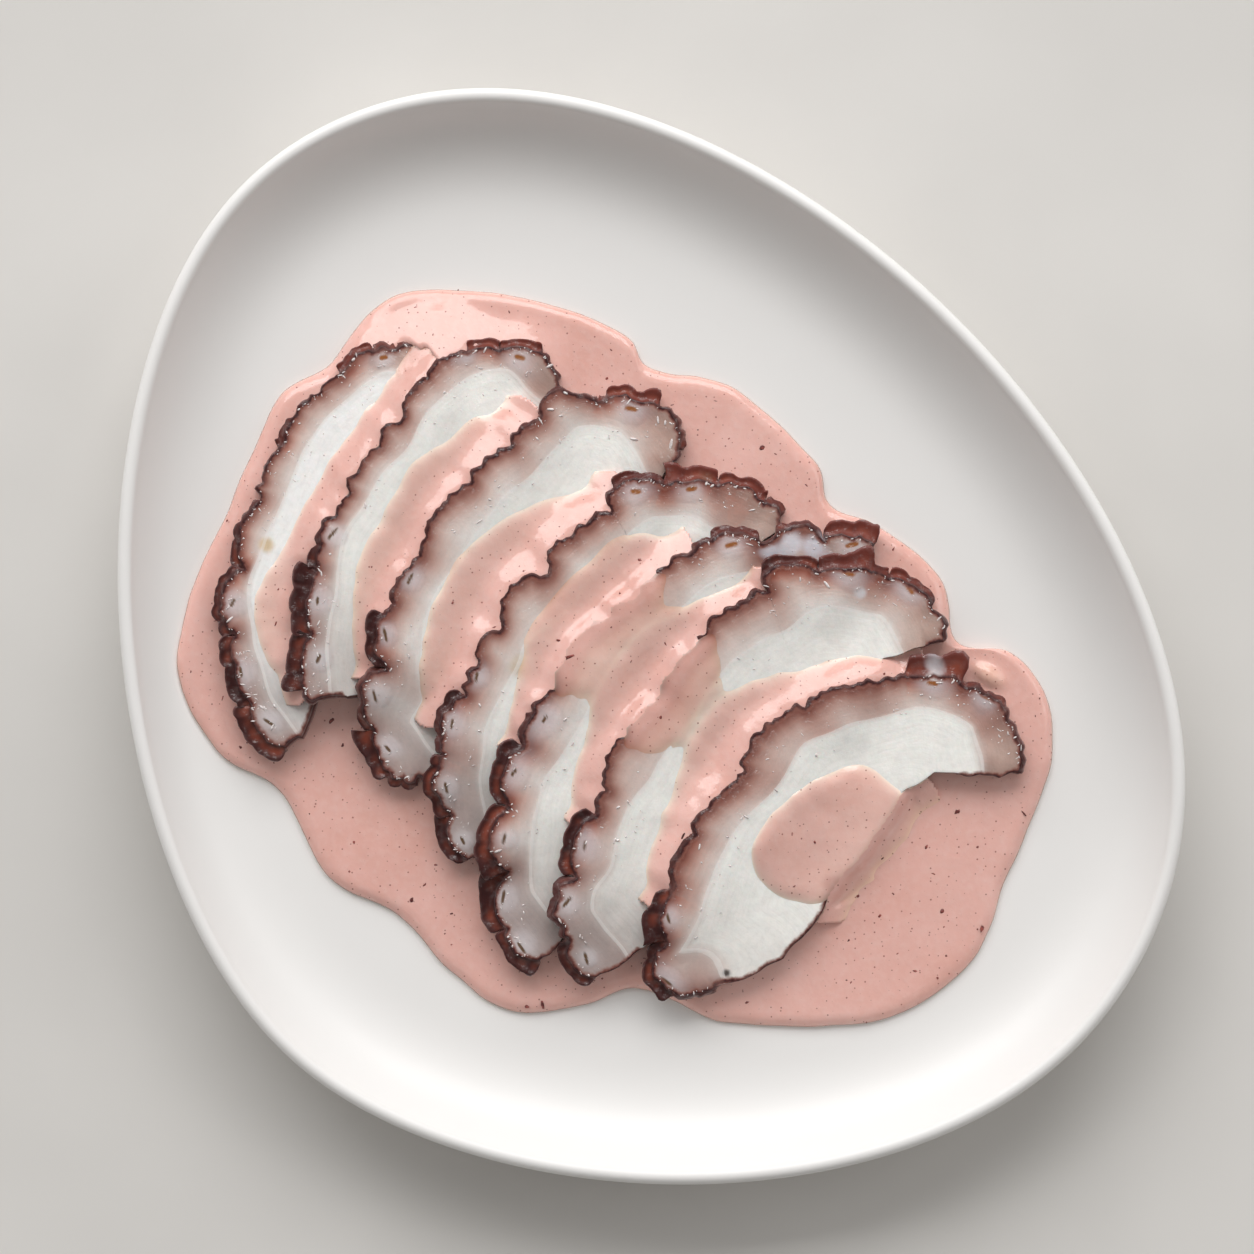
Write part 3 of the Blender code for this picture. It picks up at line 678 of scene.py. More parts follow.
def ramp(tree, value, stops):
    """A colour ramp through (position, hex colour) stops, eased between them."""
    made = node(tree, "ShaderNodeValToRGB", {"Fac": value})
    made.color_ramp.interpolation = "EASE"
    points = made.color_ramp.elements
    for position, colour in stops[1:-1]:
        points.new(position).color = rgba(colour)
    points[0].position, points[0].color = stops[0][0], rgba(stops[0][1])
    points[-1].position, points[-1].color = stops[-1][0], rgba(stops[-1][1])
    return made.outputs["Color"]


SKIN_STOPS_MM = (
    (0.0, "#3a1e1f"), (0.22, "#532d2c"), (0.45, "#7b4a41"), (0.9, "#98695d"), (1.6, "#b38c80"),
)  # fmt: skip
skin = ramp(tree, share, [(mm / RAMP_MM, colour) for mm, colour in SKIN_STOPS_MM])
PATCH_MM = 3.5
patches = node(
    tree, "ShaderNodeTexNoise", {"Vector": place, "Scale": 1000 / PATCH_MM, "Detail": 3.0}
).outputs[0]
faded = node(
    tree, "ShaderNodeMapRange", {"Value": patches, 1: 0.48, 2: 0.66, 3: 0.0, 4: 0.45}
).outputs[0]
skin = node(
    tree, "ShaderNodeMix", {0: faded, 6: skin, 7: rgba("#8a6058")}, data_type="RGBA"
).outputs[2]
reach = node(
    tree, "ShaderNodeMapRange", {"Value": depth_mm, 1: 0.3, 2: 1.3}, interpolation_type="SMOOTHSTEP"
).outputs[0]

# Fibres: noise squeezed across the slice and stretched along it.
FIBRE_LENGTH_MM, FIBRE_WIDTH_MM = 12.0, 0.9
stretch = node(
    tree, "ShaderNodeVectorMath",
    {0: lengths, 1: (1000 / FIBRE_LENGTH_MM, 0.0, 1000 / FIBRE_WIDTH_MM)}, operation="MULTIPLY",
)  # fmt: skip
fibres = node(
    tree, "ShaderNodeTexNoise", {"Vector": stretch.outputs[0], "Scale": 1.0, "Detail": 3.0}
).outputs[0]
MOTTLE_MM = 3.2
mottle = node(
    tree, "ShaderNodeTexNoise", {"Vector": place, "Scale": 1000 / MOTTLE_MM, "Detail": 4.0}
).outputs[0]
streak = node(tree, "ShaderNodeMapRange", {"Value": fibres, 1: 0.35, 2: 0.65, 3: 0.965, 4: 1.02})
cloud = node(tree, "ShaderNodeMapRange", {"Value": mottle, 1: 0.3, 2: 0.7, 3: 0.945, 4: 1.025})
grain = node(
    tree, "ShaderNodeMath", {0: streak.outputs[0], 1: cloud.outputs[0]}, operation="MULTIPLY"
).outputs[0]
flesh = node(tree, "ShaderNodeVectorMath", {0: tone, "Scale": grain}, operation="SCALE").outputs[0]

# The pale line round the core: 1 where w is near 0.
LINE_MM = 0.35
line = node(
    tree, "ShaderNodeMath", {0: inward, 1: 0.0, 2: LINE_MM * MM}, operation="COMPARE"
).outputs[0]
line = node(tree, "ShaderNodeMath", {0: line, 1: 0.4}, operation="MULTIPLY").outputs[0]
lined = node(
    tree, "ShaderNodeMix", {0: line, 6: flesh, 7: rgba("#f3efec")}, data_type="RGBA"
).outputs[2]
colour = node(
    tree, "ShaderNodeMix", {0: reach, 6: skin, 7: lined}, data_type="RGBA"
).outputs[2]
wall = node(tree, "ShaderNodeAttribute", attribute_name="wall").outputs["Fac"]
painted = node(
    tree, "ShaderNodeMix", {0: wall, 6: colour, 7: flesh}, data_type="RGBA"
).outputs[2]
tree.links.new(painted, shader.inputs["Base Color"])
shader.inputs["Roughness"].default_value = 0.38
shader.inputs["IOR"].default_value = 1.38
shader.inputs["Subsurface Weight"].default_value = 0.15
shader.inputs["Subsurface Radius"].default_value = (1.0, 0.45, 0.35)
shader.inputs["Subsurface Scale"].default_value = 0.0014
PORE_MM = 0.9
pores = node(tree, "ShaderNodeTexNoise", {"Vector": place, "Scale": 1000 / PORE_MM, "Detail": 3.0})
relief = node(
    tree, "ShaderNodeMath", {0: fibres, 1: 0.8, 2: pores.outputs[0]}, operation="MULTIPLY_ADD"
).outputs[0]
# Light spreads out inside flesh, so its shade follows a flatter face than the cut itself.
FLATTER = 1.5
lift = node(tree, "ShaderNodeMapRange", {"Value": wall, 3: FLATTER, 4: 0.0}).outputs[0]
lift = node(tree, "ShaderNodeCombineXYZ", {"Z": lift}).outputs[0]
normal = node(tree, "ShaderNodeNewGeometry").outputs["Normal"]
normal = node(tree, "ShaderNodeVectorMath", {0: normal, 1: lift}, operation="ADD").outputs[0]
normal = node(tree, "ShaderNodeVectorMath", {0: normal}, operation="NORMALIZE").outputs[0]
bump = node(
    tree, "ShaderNodeBump",
    {"Height": relief, "Distance": 0.00012, "Strength": 0.4, "Normal": normal},
)  # fmt: skip
tree.links.new(bump.outputs[0], shader.inputs["Normal"])
WRINKLE_MM = 0.55
wrinkles = node(tree, "ShaderNodeTexNoise", {"Vector": place, "Scale": 1000 / WRINKLE_MM, "Detail": 2.0})
film = node(
    tree, "ShaderNodeMath", {0: fibres, 1: 1.6, 2: wrinkles.outputs[0]}, operation="MULTIPLY_ADD"
).outputs[0]
film = node(tree, "ShaderNodeBump", {"Height": film, "Distance": 0.0003, "Strength": 0.9})
tree.links.new(film.outputs[0], shader.inputs["Coat Normal"])
# The wetness gathers in small patches, which break its shine into glints.
WET_MM = 1.4
damp = node(tree, "ShaderNodeTexNoise", {"Vector": place, "Scale": 1000 / WET_MM, "Detail": 2.0}).outputs[0]
damp = node(tree, "ShaderNodeMapRange", {"Value": damp, 1: 0.5, 2: 0.58, 3: 0.05, 4: 1.0}).outputs[0]
tree.links.new(damp, shader.inputs["Coat Weight"])
shader.inputs["Specular IOR Level"].default_value = 0.25
shader.inputs["Coat Roughness"].default_value = 0.06
shader.inputs["Coat IOR"].default_value = 1.5
print("octopus nodes:", len(tree.nodes))

# %% [markdown]
# ## Building a slice
# A slice is one closed surface: the cut face on its grid, a wall that hangs from the face's whole
# border, and an underside. The wall starts with a fine crease below the skin, swells outwards to
# the flare and turns in again to the foot, so a sucker's rim stands round and wet beside the cut.

# %% Slice shapes
THICKNESS = 4.15
PLAIN_FLARE = 0.18
WALL_STEPS = 15
# Sections of the wall: out as a share of the flare, and down in mm.
PLAIN_WALL = (
    (0.3, 0.12), (0.6, 0.35), (0.8, 0.65), (0.9, 1.0), (0.97, 1.4), (1.0, 1.8), (1.0, 2.2),
    (0.97, 2.6), (0.88, 3.1), (0.72, 3.6), (0.45, 4.15),
)  # fmt: skip
CUP_WALL = (
    (0.05, 0.3), (0.16, 0.75), (0.34, 1.1), (0.55, 1.15), (0.74, 0.95), (0.88, 0.85), (0.97, 1.0),
    (1.0, 1.4), (0.95, 2.2), (0.75, 3.2), (0.45, 4.15),
)  # fmt: skip
UNDER_COLUMNS = np.linspace(0, COLUMNS - 1, 6).astype(int)
CORE_DEPTH = {1: 5.6, 2: 5.8, 3: 8.4, 4: 8.8, 5: 9.0, 6: 9.0, 7: 7.6}
# How far in mm the skin goes on past the far and the near end of its edge, round the slice.
INNER_SKIN = {1: (3, 19), 2: (3, 9), 3: (3, 4), 4: (3, 3), 5: (5, 8), 6: (4, 16), 7: (18, 50)}


def softened(values, rounds):
    """A closed run of points or numbers, each evened with its two neighbours again and again."""
    for _ in range(rounds):
        values = (np.roll(values, 1, axis=0) + 2 * values + np.roll(values, -1, axis=0)) / 4
    return values


def border_of(grid):
    """The grid's outer points in order: skin edge, near end, inner edge and far end."""
    return np.concatenate((grid[:, 0], grid[-1, 1:], grid[-2::-1, -1], grid[0, -2:0:-1]))


def closed_outward(ring):
    """Unit vectors to the right of a closed ring's direction."""
    along = np.roll(ring, -1, axis=0) - np.roll(ring, 1, axis=0)
    normal = softened(np.stack((along[:, 1], -along[:, 0]), axis=1), 5)
    return normal / np.linalg.norm(normal, axis=1, keepdims=True)


def wall_profile(flare):
    """Steps of the wall below the face's edge, each as (out, down) in mm and its share.

    A plain wall swells a little and turns in to its foot. A cup falls into a valley behind the
    skin, rises to the sucker's rim and falls from there. The flare says how much of a cup it is.
    """
    cup = smooth(flare, 0.9, 2.6)[:, None]
    steps = np.linspace(0, len(PLAIN_WALL) - 1, WALL_STEPS)
    whole = np.arange(len(PLAIN_WALL))
    out, down = (
        (1 - cup) * np.interp(steps, whole, plain) + cup * np.interp(steps, whole, cupped)
        for plain, cupped in zip(zip(*PLAIN_WALL), zip(*CUP_WALL))
    )
    return (out * flare[:, None]).T, down.T, steps / steps[-1]


def mixed(first, second, share):
    """Mixes two colours, or arrays of them, by a share for each point."""
    return first + (second - first) * np.asarray(share)[..., None]


def through(value, stops):
    """A colour for each value, from (value, hex colour) stops mixed as linear light."""
    at, colours = zip(*stops)
    colours = np.array([linear(colour) for colour in colours])
    return np.stack([np.interp(value, at, colours[:, channel]) for channel in range(3)], axis=-1)


LOBE_STOPS = ((0.6, "#7d4033"), (1.3, "#a3685a"), (2.4, "#c4988b"), (4.0, "#d9c2b9"), (6.5, "#e7ddd8"))
EDGE_STOPS = ((0.6, "#7d4b42"), (1.4, "#a2766b"), (2.6, "#c3a197"), (4.3, "#d8c3bb"), (7.5, "#e9e1dc"))
# How far the skin's colour has boiled into each slice, as a factor on those depths.
STAIN = {1: 0.85, 2: 0.95, 3: 1.1, 4: 1.25, 5: 1.25, 6: 1.35, 7: 1.45}
# How grey and clear the meat goes towards each slice's near end.
END_GREY = {1: 0.75, 2: 0.75, 3: 0.8, 4: 0.95, 5: 0.95, 6: 0.9, 7: 0.3}
# Marks on single slices: slice, x, y, radius in mm, and colour.
SPOTS = (
    (7, 16.9, -75.5, 0.8, "#24120f"), (7, 39.6, -55.4, 1.1, "#5d5653"), (7, 41.2, -54.6, 0.8, "#6b6460"),
    (1, -86.4, 20.4, 1.7, "#dcc19a"), (6, 47.0, 9.5, 1.2, "#e4dfe2"), (4, -30.0, -7.0, 2.4, "#d6c4b0"),
    (7, 63.0, -3.5, 1.5, "#a3989c"), (7, 63.2, -6.5, 1.9, "#b9b0b3"), (7, 62.6, -9.6, 1.5, "#ece6e6"),
    (5, 27.0, 18.6, 2.2, "#d9d4dc"), (5, 31.5, 20.4, 2.4, "#e6e3ea"), (5, 36.0, 20.0, 2.6, "#dcd8e0"),
    (5, 39.5, 15.5, 2.2, "#d4cfd7"), (4, 12.5, 35.5, 1.5, "#7a4a3a"),
)  # fmt: skip


def marked(number, points, tone):
    """The colours with a slice's own marks on them."""
    for place, x, y, radius, colour in SPOTS:
        if place == number:
            away = np.hypot(points[:, 0] - x, points[:, 1] - y)
            away *= 1 + 0.35 * sample(SMALL, *points[:, :2].T)
            tone = mixed(tone, linear(colour), 0.9 * (1 - smooth(away, 0.45 * radius, 1.5 * radius)))
    return tone


def face_tone(number, points, along, depth, inward, lobe, suckers):
    """The cut face's colour away from the skin, point by point."""
    core = linear("#fbfaf8") if number == 1 else linear("#f8f6f1")
    blotch = 1 + 0.4 * sample(MIDDLE, *points.T) + 0.25 * sample(BROAD, *points.T)
    end = along.max() - along
    uneven_depth = depth * blotch / STAIN[number] / (1.7 - 0.7 * smooth(along, 6, 26))
    tone = mixed(through(uneven_depth, EDGE_STOPS), through(uneven_depth, LOBE_STOPS), lobe)
    crisp = 0.5 + 1.8 * (1 - smooth(end, 20, 70)) + 1.6 * (1 - smooth(along, 12, 34))
    tone = mixed(tone, core, smooth(inward, -crisp, crisp))
    beside_core = 1 - smooth(inward, -2, 1)
    grey = END_GREY[number] * (1 - smooth(end, 12, 46)) * (0.65 + 0.35 * beside_core)
    tone = mixed(tone, linear("#ab9c98"), grey)
    tone = mixed(tone, linear("#d3beb2"), 0.5 * (1 - smooth(along, 5, 22)) * beside_core)
    (lump, ring, slit), (pale, edge, hole) = suckers
    tone = mixed(tone, linear("#dad3d6"), 0.65 * np.maximum(lump, pale))
    tone = mixed(tone, linear("#a08580"), 0.14 * np.maximum(ring, edge))
    tone = marked(number, points, tone)
    tone = mixed(tone, linear("#9a6036"), smooth(hole, 0.1, 0.6))
    # The slit's dark olive-brown is partly the hollow's own colour and partly painted shade inside the hollow.
    return mixed(tone, linear("#5f4326"), 0.95 * smooth(slit, 0.1, 0.5))


def wall_tone(share, reach, streak, cloud, far):
    """Dark maroon skin with painted light: a painted warm red glow near the cut of a cup, lighter on the far cups
    that face the light, a painted grey sheen on a cup's rim and painted shade where the wall turns in below; a
    thin wall goes mauve in places.
    """
    cup = smooth(reach, 1.0, 2.6)
    dark = mixed(linear("#5a3533"), linear("#40201f"), cup)
    # Painted light: the far cups, which face the light, are painted a lighter red.
    dark = mixed(dark, linear("#7c3d34"), 0.85 * far * cup)
    # Painted glow: warm red near the cut stands in for light shining through the thin cup.
    painted_glow = np.clip(0.2 + 0.7 * cloud + 0.7 * streak + 0.35 * far, 0, 1)
    tone = mixed(dark, linear("#854334"), painted_glow * cup * np.exp(-(((share - 0.2) / 0.14) ** 2)))
    mauve = (1 - smooth(reach, 0.7, 1.9)) * smooth(cloud, -0.1, 0.8) * smooth(share, 0.05, 0.3)
    tone = mixed(tone, linear("#a08580"), 0.8 * mauve)
    # Painted sheen: a lighter greyish band along the crest of a cup's rim.
    rim = np.exp(-(((share - 0.58) / 0.07) ** 2)) * cup * np.clip(0.5 + streak - 0.5 * cloud, 0, 1)
    tone = mixed(tone, linear("#7b5654"), 0.7 * rim)
    # Painted shade: near black where the wall turns in under the slice below its rim.
    return mixed(tone, linear("#26110f"), np.full(len(reach), 0.9 * smooth(share, 0.68, 0.85)))


def build_slice(number):
    """Makes one slice; returns its face points and their colours as seen, each as a grid."""
    plan, horn, flare = PLANS[number]
    points = plan.reshape(-1, 2)
    skin_edge = plan[:, 0]
    spacing = np.linalg.norm(skin_edge[1] - skin_edge[0])
    along = np.repeat(np.arange(ROWS) * spacing, COLUMNS)
    depth, skin_row = nearest(points, skin_edge)
    lobe = smooth(flare[skin_row], 0.7, 2.4)
    for end, reach in zip((plan[::-1], plan), INNER_SKIN[number]):
        tail = evenly(np.vstack((end[-1], end[-2::-1, -1])), ROWS)[0]
        beside, place = nearest(points, tail)
        past = place * np.linalg.norm(tail[1] - tail[0]) / reach
        depth = np.minimum(depth, beside * 1.1 + 6 * smooth(past, 0.7, 1.05))
    calm = smooth_curve(skin_edge[np.linspace(0, ROWS - 1, 10).astype(int)], ROWS, closed=False)
    to_the_end = 0.8 * (1 - END_GREY[number]) * (1 - smooth(along.max() - along, 5, 30))
    inward = nearest(points, calm)[0] - CORE_DEPTH[number] * (1 - to_the_end)
    inward += 0.9 * sample(MIDDLE, *points.T)

    suckers = (
        sucker_marks(points, WHITE_SUCKERS[number], skin_edge, SLIT_WIDTH),
        sucker_marks(points, AMBER_SUCKERS[number], skin_edge, CUP_WIDTH),
    )
    lump, ring, slit = np.maximum(*suckers)
    height = sample(HEIGHTS[number], *points.T)
    height += 0.3 * (1 - np.exp(-depth / 2.2)) + 0.05 * np.exp(-((depth / 0.5) ** 2))
    height += 0.35 * lump + 0.1 * sample(SMALL, *points.T) + 0.1 * sample(MIDDLE, *points.T)
    height -= 0.15 * slit + 0.08 * ring - 0.12 * np.exp(-((inward / 0.4) ** 2))
    face = np.column_stack((points, height)).reshape(ROWS, COLUMNS, 3)

    grid = np.arange(ROWS * COLUMNS).reshape(ROWS, COLUMNS)
    ring = border_of(grid)
    edge = face.reshape(-1, 3)[ring]
    out = closed_outward(edge[:, :2])
    reach = np.full(len(ring), PLAIN_FLARE)
    reach[:ROWS] += flare
    ridge = sample(FINE, *edge[:, :2].T)
    cloud = sample(MIDDLE, *edge[:, :2].T)
    lively = 0.35 - 0.27 * smooth(reach, 0.8, 2.2)
    horns = np.append(horn, np.zeros(len(ring) - ROWS))
    reach = softened(reach, 1) * (1 + lively * (sample(SMALL, *edge[:, :2].T) + ridge))
    reach += 0.7 * smooth(cloud, 0.1, 0.9) * (1 - smooth(reach, 0.5, 1.2))
    rim = np.column_stack((along, depth, inward))[ring]
    far = 1 - smooth(rim[:, 0], 20, 60)
    layers, tones, rims = [], [], []
    for step, down, share in zip(*wall_profile(reach)):
        down = down + (0.25 * ridge - 0.7 * horns) * np.sin(np.pi * share)
        layers.append(np.column_stack((edge[:, :2] + out * step[:, None], edge[:, 2] - down)))
        tones.append(marked(number, layers[-1][:, :2], wall_tone(share, reach, ridge, cloud, far)))
        rims.append(rim - np.column_stack((0 * down, 0.6 * down, 0 * down)))
    count = len(ring)
    levels = len(layers)
    start = ROWS * COLUMNS
    index = np.vstack([ring] + [start + level * count + np.arange(count) for level in range(levels)])
    faces = quads(grid) + quads(index, closed=True)

    # The underside: a coarse grid between the two long sides of the last ring.
    foot = index[-1]
    left, right = foot[1 : ROWS - 1], foot[ROWS + COLUMNS - 1 : 2 * ROWS + COLUMNS - 3][::-1]
    middle = face[1:-1, UNDER_COLUMNS[1:-1]] - np.array((0, 0, THICKNESS))
    middle_start = start + levels * count
    middle_index = middle_start + np.arange(middle.shape[0] * middle.shape[1]).reshape(ROWS - 2, -1)
    under = np.column_stack((left, middle_index, right))
    faces += [face_points[::-1] for face_points in quads(under)]
    near_end = foot[ROWS - 1 : ROWS + COLUMNS - 1]
    far_end = np.append(foot[0], foot[: 2 * ROWS + COLUMNS - 4 : -1])
    for first, last, here, there in zip(
        UNDER_COLUMNS[:-1], UNDER_COLUMNS[1:], range(len(UNDER_COLUMNS) - 1), range(1, len(UNDER_COLUMNS))
    ):
        faces.append([*near_end[first : last + 1][::-1], under[-1, here], under[-1, there]])
        faces.append([*far_end[first : last + 1], under[0, there], under[0, here]])

    points = np.vstack([face.reshape(-1, 3)] + layers + [middle.reshape(-1, 3)])
    face_values = face_tone(number, plan.reshape(-1, 2), along, depth, inward, lobe, suckers)
    tone = np.vstack([face_values] + tones + [np.tile(linear("#8b6f6d"), (middle[..., 0].size, 1))])
    beneath = np.zeros((middle.shape[0] * middle.shape[1], 3))
    lengths = np.vstack([np.column_stack((along, depth, inward))] + rims + [beneath])
    wall = np.ones(len(points))
    wall[:start] = 0.0
    wall[start : start + count] = 0.4
    make_piece(
        f"octopus_slice_{number}", points, faces, octopus, "octopus", [f"slice_{number}"],
        tone=tone, lengths=lengths * MM, wall=wall,
    )  # fmt: skip
    seen = mixed(through(depth, SKIN_STOPS_MM), face_values, smooth(depth, 0.4, 1.5))
    return face, seen.reshape(ROWS, COLUMNS, 3)


FACES = {number: build_slice(number) for number in SKIN_EDGES}

# %% [markdown]
# ## The pool of sauce
# The pool is a thick drop that has spread until its edge stood still: flat on top, with a round
# rim where the surface pulls it in. It is a polar grid inside a smooth closed curve. Its top
# creeps up a little where slices stand in it, and its underside lies on the plate.

# %% Pool shape
POOL_OUTLINE = (
    (90.5, -28.0), (89.0, -13.0), (80.5, -3.5), (69.0, -1.0), (65.5, 13.0), (52.0, 24.5),
    (40.5, 30.0), (36.5, 40.0), (18.5, 56.0), (0.0, 60.5), (-6.5, 68.5), (-30.0, 76.5),
    (-52.0, 78.0), (-63.0, 73.5), (-72.5, 61.5), (-83.5, 54.0), (-92.5, 35.5), (-105.0, 6.0),
    (-105.5, -12.0), (-96.0, -27.5), (-83.5, -35.0), (-73.5, -53.5), (-57.0, -63.0),
    (-44.0, -76.5), (-32.0, -84.5), (-15.0, -83.5), (-2.5, -79.5), (15.0, -86.5),
    (37.0, -88.0), (57.5, -85.0), (73.5, -72.5), (79.0, -57.0), (84.5, -45.0),
)  # fmt: skip
POOL_MIDDLE = np.array((-6.0, -6.0))
POOL_SIDES = 560
POOL_RINGS = 74
EDGE_RINGS = 11
POOL_DEPTH = 2.1
MENISCUS = 3.6


def refined(grid):
    """A grid of points with the middle of every two neighbours put between them."""
    for _ in range(2):
        grid = np.repeat(grid, 2, axis=0)[:-1]
        grid[1::2] = (grid[:-1:2] + grid[2::2]) / 2
        grid = grid.swapaxes(0, 1)
    return grid


FACE_PILE = np.zeros(GRID_X.shape)
UNDER = np.tile(linear("#f0d8cc"), (*GRID_X.shape, 1))
for face, seen in FACES.values():
    points, colours = (refined(refined(grid)).reshape(-1, 3) for grid in (face, seen))
    cells = cells_of(points[:, 0], points[:, 1])
    np.maximum.at(FACE_PILE, cells, points[:, 2])
    UNDER[cells] = colours
COVERED = (FACE_PILE > 0).astype(float)


def heaped(field, slope, reach):
    """Sauce leaning on every step: the highest of field(q) - slope |p - q| over q near p."""
    for _ in range(round(reach / STEP)):
        best = field
        for rows in (-1, 0, 1):
            for columns in (-1, 0, 1):
                fall = slope * STEP * np.hypot(rows, columns)
                best = np.maximum(best, np.roll(field, (rows, columns), (0, 1)) - fall)
        field = best
    return field


POOL_TOP = GROUND + POOL_DEPTH + 0.6 * blurred(COVERED, 1.4) + 1.4 * blurred(COVERED, 5.0)
# Sauce has run down over the far ends of the first slices and leans on them in a slope.
RUN_X, RUN_WIDTH, RUN_FROM, RUN_TO = -47.0, 23.0, 50.0, 60.0
RUN_SLOPE, RUN_REACH, RUN_DROP = 0.5, 13.0, 0.8
ran = np.exp(-(((GRID_X - RUN_X) / RUN_WIDTH) ** 4)) * smooth(GRID_Y, RUN_FROM, RUN_TO)
lean = blurred(heaped(FACE_PILE, RUN_SLOPE, RUN_REACH), 1.0) - RUN_DROP
POOL_TOP += np.maximum(lean - POOL_TOP, 0.0) * ran
POOL_TOP = np.where(FACE_PILE > 0, POOL_TOP, blurred(POOL_TOP, 0.8))
POOL_TOP += 0.2 * BROAD + 0.04 * MIDDLE
# A lump of flesh under the sauce beside the last slice.
LUMP_X, LUMP_Y, LUMP_LONG, LUMP_WIDE, LUMP_TURN = 76.0, -8.8, 3.6, 2.0, np.radians(-35)
along = (GRID_X - LUMP_X) * np.cos(LUMP_TURN) + (GRID_Y - LUMP_Y) * np.sin(LUMP_TURN)
beside = (GRID_Y - LUMP_Y) * np.cos(LUMP_TURN) - (GRID_X - LUMP_X) * np.sin(LUMP_TURN)
morsel = np.exp(-(((along / LUMP_LONG) ** 2 + (beside / LUMP_WIDE) ** 2) ** 1.5))
POOL_TOP += 1.5 * morsel
POOL_TOP = np.where(FACE_PILE > 0, np.minimum(POOL_TOP, FACE_PILE - 1.0), POOL_TOP)

pool_edge = smooth_curve(POOL_OUTLINE, POOL_SIDES)
pool_edge += outward(np.vstack((pool_edge, pool_edge[:1])), 3)[:-1] * (
    0.35 * sample(MIDDLE, *pool_edge.T) + 0.06 * sample(SMALL, *pool_edge.T)
)[:, None]
spokes = pool_edge - POOL_MIDDLE
radius = np.linalg.norm(spokes, axis=1, keepdims=True)
inset = MENISCUS * np.linspace(0, 1, EDGE_RINGS)
rise = (1 - (1 - inset / MENISCUS) ** 2) ** (1 / 2)
edge_rings = [(POOL_MIDDLE + spokes * (1 - e / radius), share) for e, share in zip(inset, rise)]
shares = np.linspace(1, 0, POOL_RINGS + 1)[1:-1]
rim = edge_rings[-1][0] - POOL_MIDDLE
rings = [(POOL_MIDDLE + rim * share, 1.0) for share in shares[::-1]] + edge_rings[::-1]


def on_pool(plan, share):
    """Height of the pool at a share of its depth above the plate."""
    ground = sample(GROUND, *plan.T)
    return ground + (sample(POOL_TOP, *plan.T) - ground) * share


pool_rings = [np.column_stack((plan, on_pool(plan, share))) for plan, share in rings]
for share in np.linspace(1, 0, 12)[1:-1] ** 0.7:
    plan = POOL_MIDDLE + spokes * share
    pool_rings.append(np.column_stack((plan, sample(GROUND, *plan.T) - 0.05)))
pool_layer = np.concatenate([sample(POOL_TOP - GROUND, *plan.T) * share**0.7 for plan, share in rings])
pool_layer = pool_layer / (1 + 12 * sample(morsel, *np.vstack([plan for plan, _ in rings]).T))
middle_high = (*POOL_MIDDLE, sample(POOL_TOP, *POOL_MIDDLE))
middle_low = (*POOL_MIDDLE, sample(GROUND, *POOL_MIDDLE) - 0.05)
pool_points, pool_faces = dish(pool_rings, middle_high, middle_low)
print("pool rings:", len(pool_rings))

# %% [markdown]
# ## Olive sauce
# Mayonnaise beaten with purple olives is a warm greyish pink. Seen close it isn't even: it holds
# fine dark red specks of olive skin and faint lighter curds. It is satin rather than mirror
# glossy, so its lights are broad with soft ends, and where it runs out thin it goes peach.

# %% Olive mayonnaise
sauce, tree, shader = new_material("olive_mayonnaise")
place = node(tree, "ShaderNodeTexCoord").outputs["Object"]
layer = node(tree, "ShaderNodeAttribute", attribute_name="layer").outputs["Fac"]
CLOUD_MM, CURD_MM, SPECK_MM = 14.0, 1.6, 2.1
clouds = node(
    tree, "ShaderNodeTexNoise", {"Vector": place, "Scale": 1000 / CLOUD_MM, "Detail": 3.0}
).outputs[0]
body = ramp(tree, clouds, [(0.3, "#e6b1a5"), (0.5, "#eab7ac"), (0.72, "#efbfb5")])
curds = node(
    tree, "ShaderNodeTexNoise", {"Vector": place, "Scale": 1000 / CURD_MM, "Detail": 4.0}
).outputs[0]
pale = node(tree, "ShaderNodeMapRange", {"Value": curds, 1: 0.45, 2: 0.75, 3: 0.0, 4: 0.3})
body = node(
    tree, "ShaderNodeMix", {0: pale.outputs[0], 6: body, 7: rgba("#f0cdc5")}, data_type="RGBA"
).outputs[2]
# What lies under the sauce shows through by exp(-thickness / 0.45 mm), tinted peach.
SEEN_THROUGH_MM = 0.45
under = node(tree, "ShaderNodeAttribute", attribute_name="under").outputs["Vector"]
under = node(
    tree, "ShaderNodeVectorMath", {0: under, 1: linear("#fbe6d8")}, operation="MULTIPLY"
).outputs[0]
clear = node(
    tree, "ShaderNodeMath", {0: layer, 1: -1 / SEEN_THROUGH_MM}, operation="MULTIPLY"
).outputs[0]
clear = node(tree, "ShaderNodeMath", {0: clear}, operation="EXPONENT", use_clamp=True).outputs[0]
body = node(tree, "ShaderNodeMix", {0: clear, 6: body, 7: under}, data_type="RGBA").outputs[2]
specks = node(
    tree, "ShaderNodeTexVoronoi", {"Vector": place, "Scale": 1000 / SPECK_MM, "Randomness": 1.0},
    voronoi_dimensions="2D",
)  # fmt: skip
near = node(
    tree, "ShaderNodeMath", {0: specks.outputs["Distance"], 1: SPECK_MM}, operation="MULTIPLY"
).outputs[0]
chance = node(tree, "ShaderNodeSeparateXYZ", {"Vector": specks.outputs["Color"]})
size = node(
    tree, "ShaderNodeMapRange", {"Value": chance.outputs["X"], 1: 0.35, 2: 1.0, 3: 0.08, 4: 0.26}
).outputs[0]
spot = node(tree, "ShaderNodeMath", {0: size, 1: near}, operation="SUBTRACT").outputs[0]
spot = node(
    tree, "ShaderNodeMapRange", {"Value": spot, 1: 0.0, 2: 0.14, 3: 0.0, 4: 0.8}
).outputs[0]
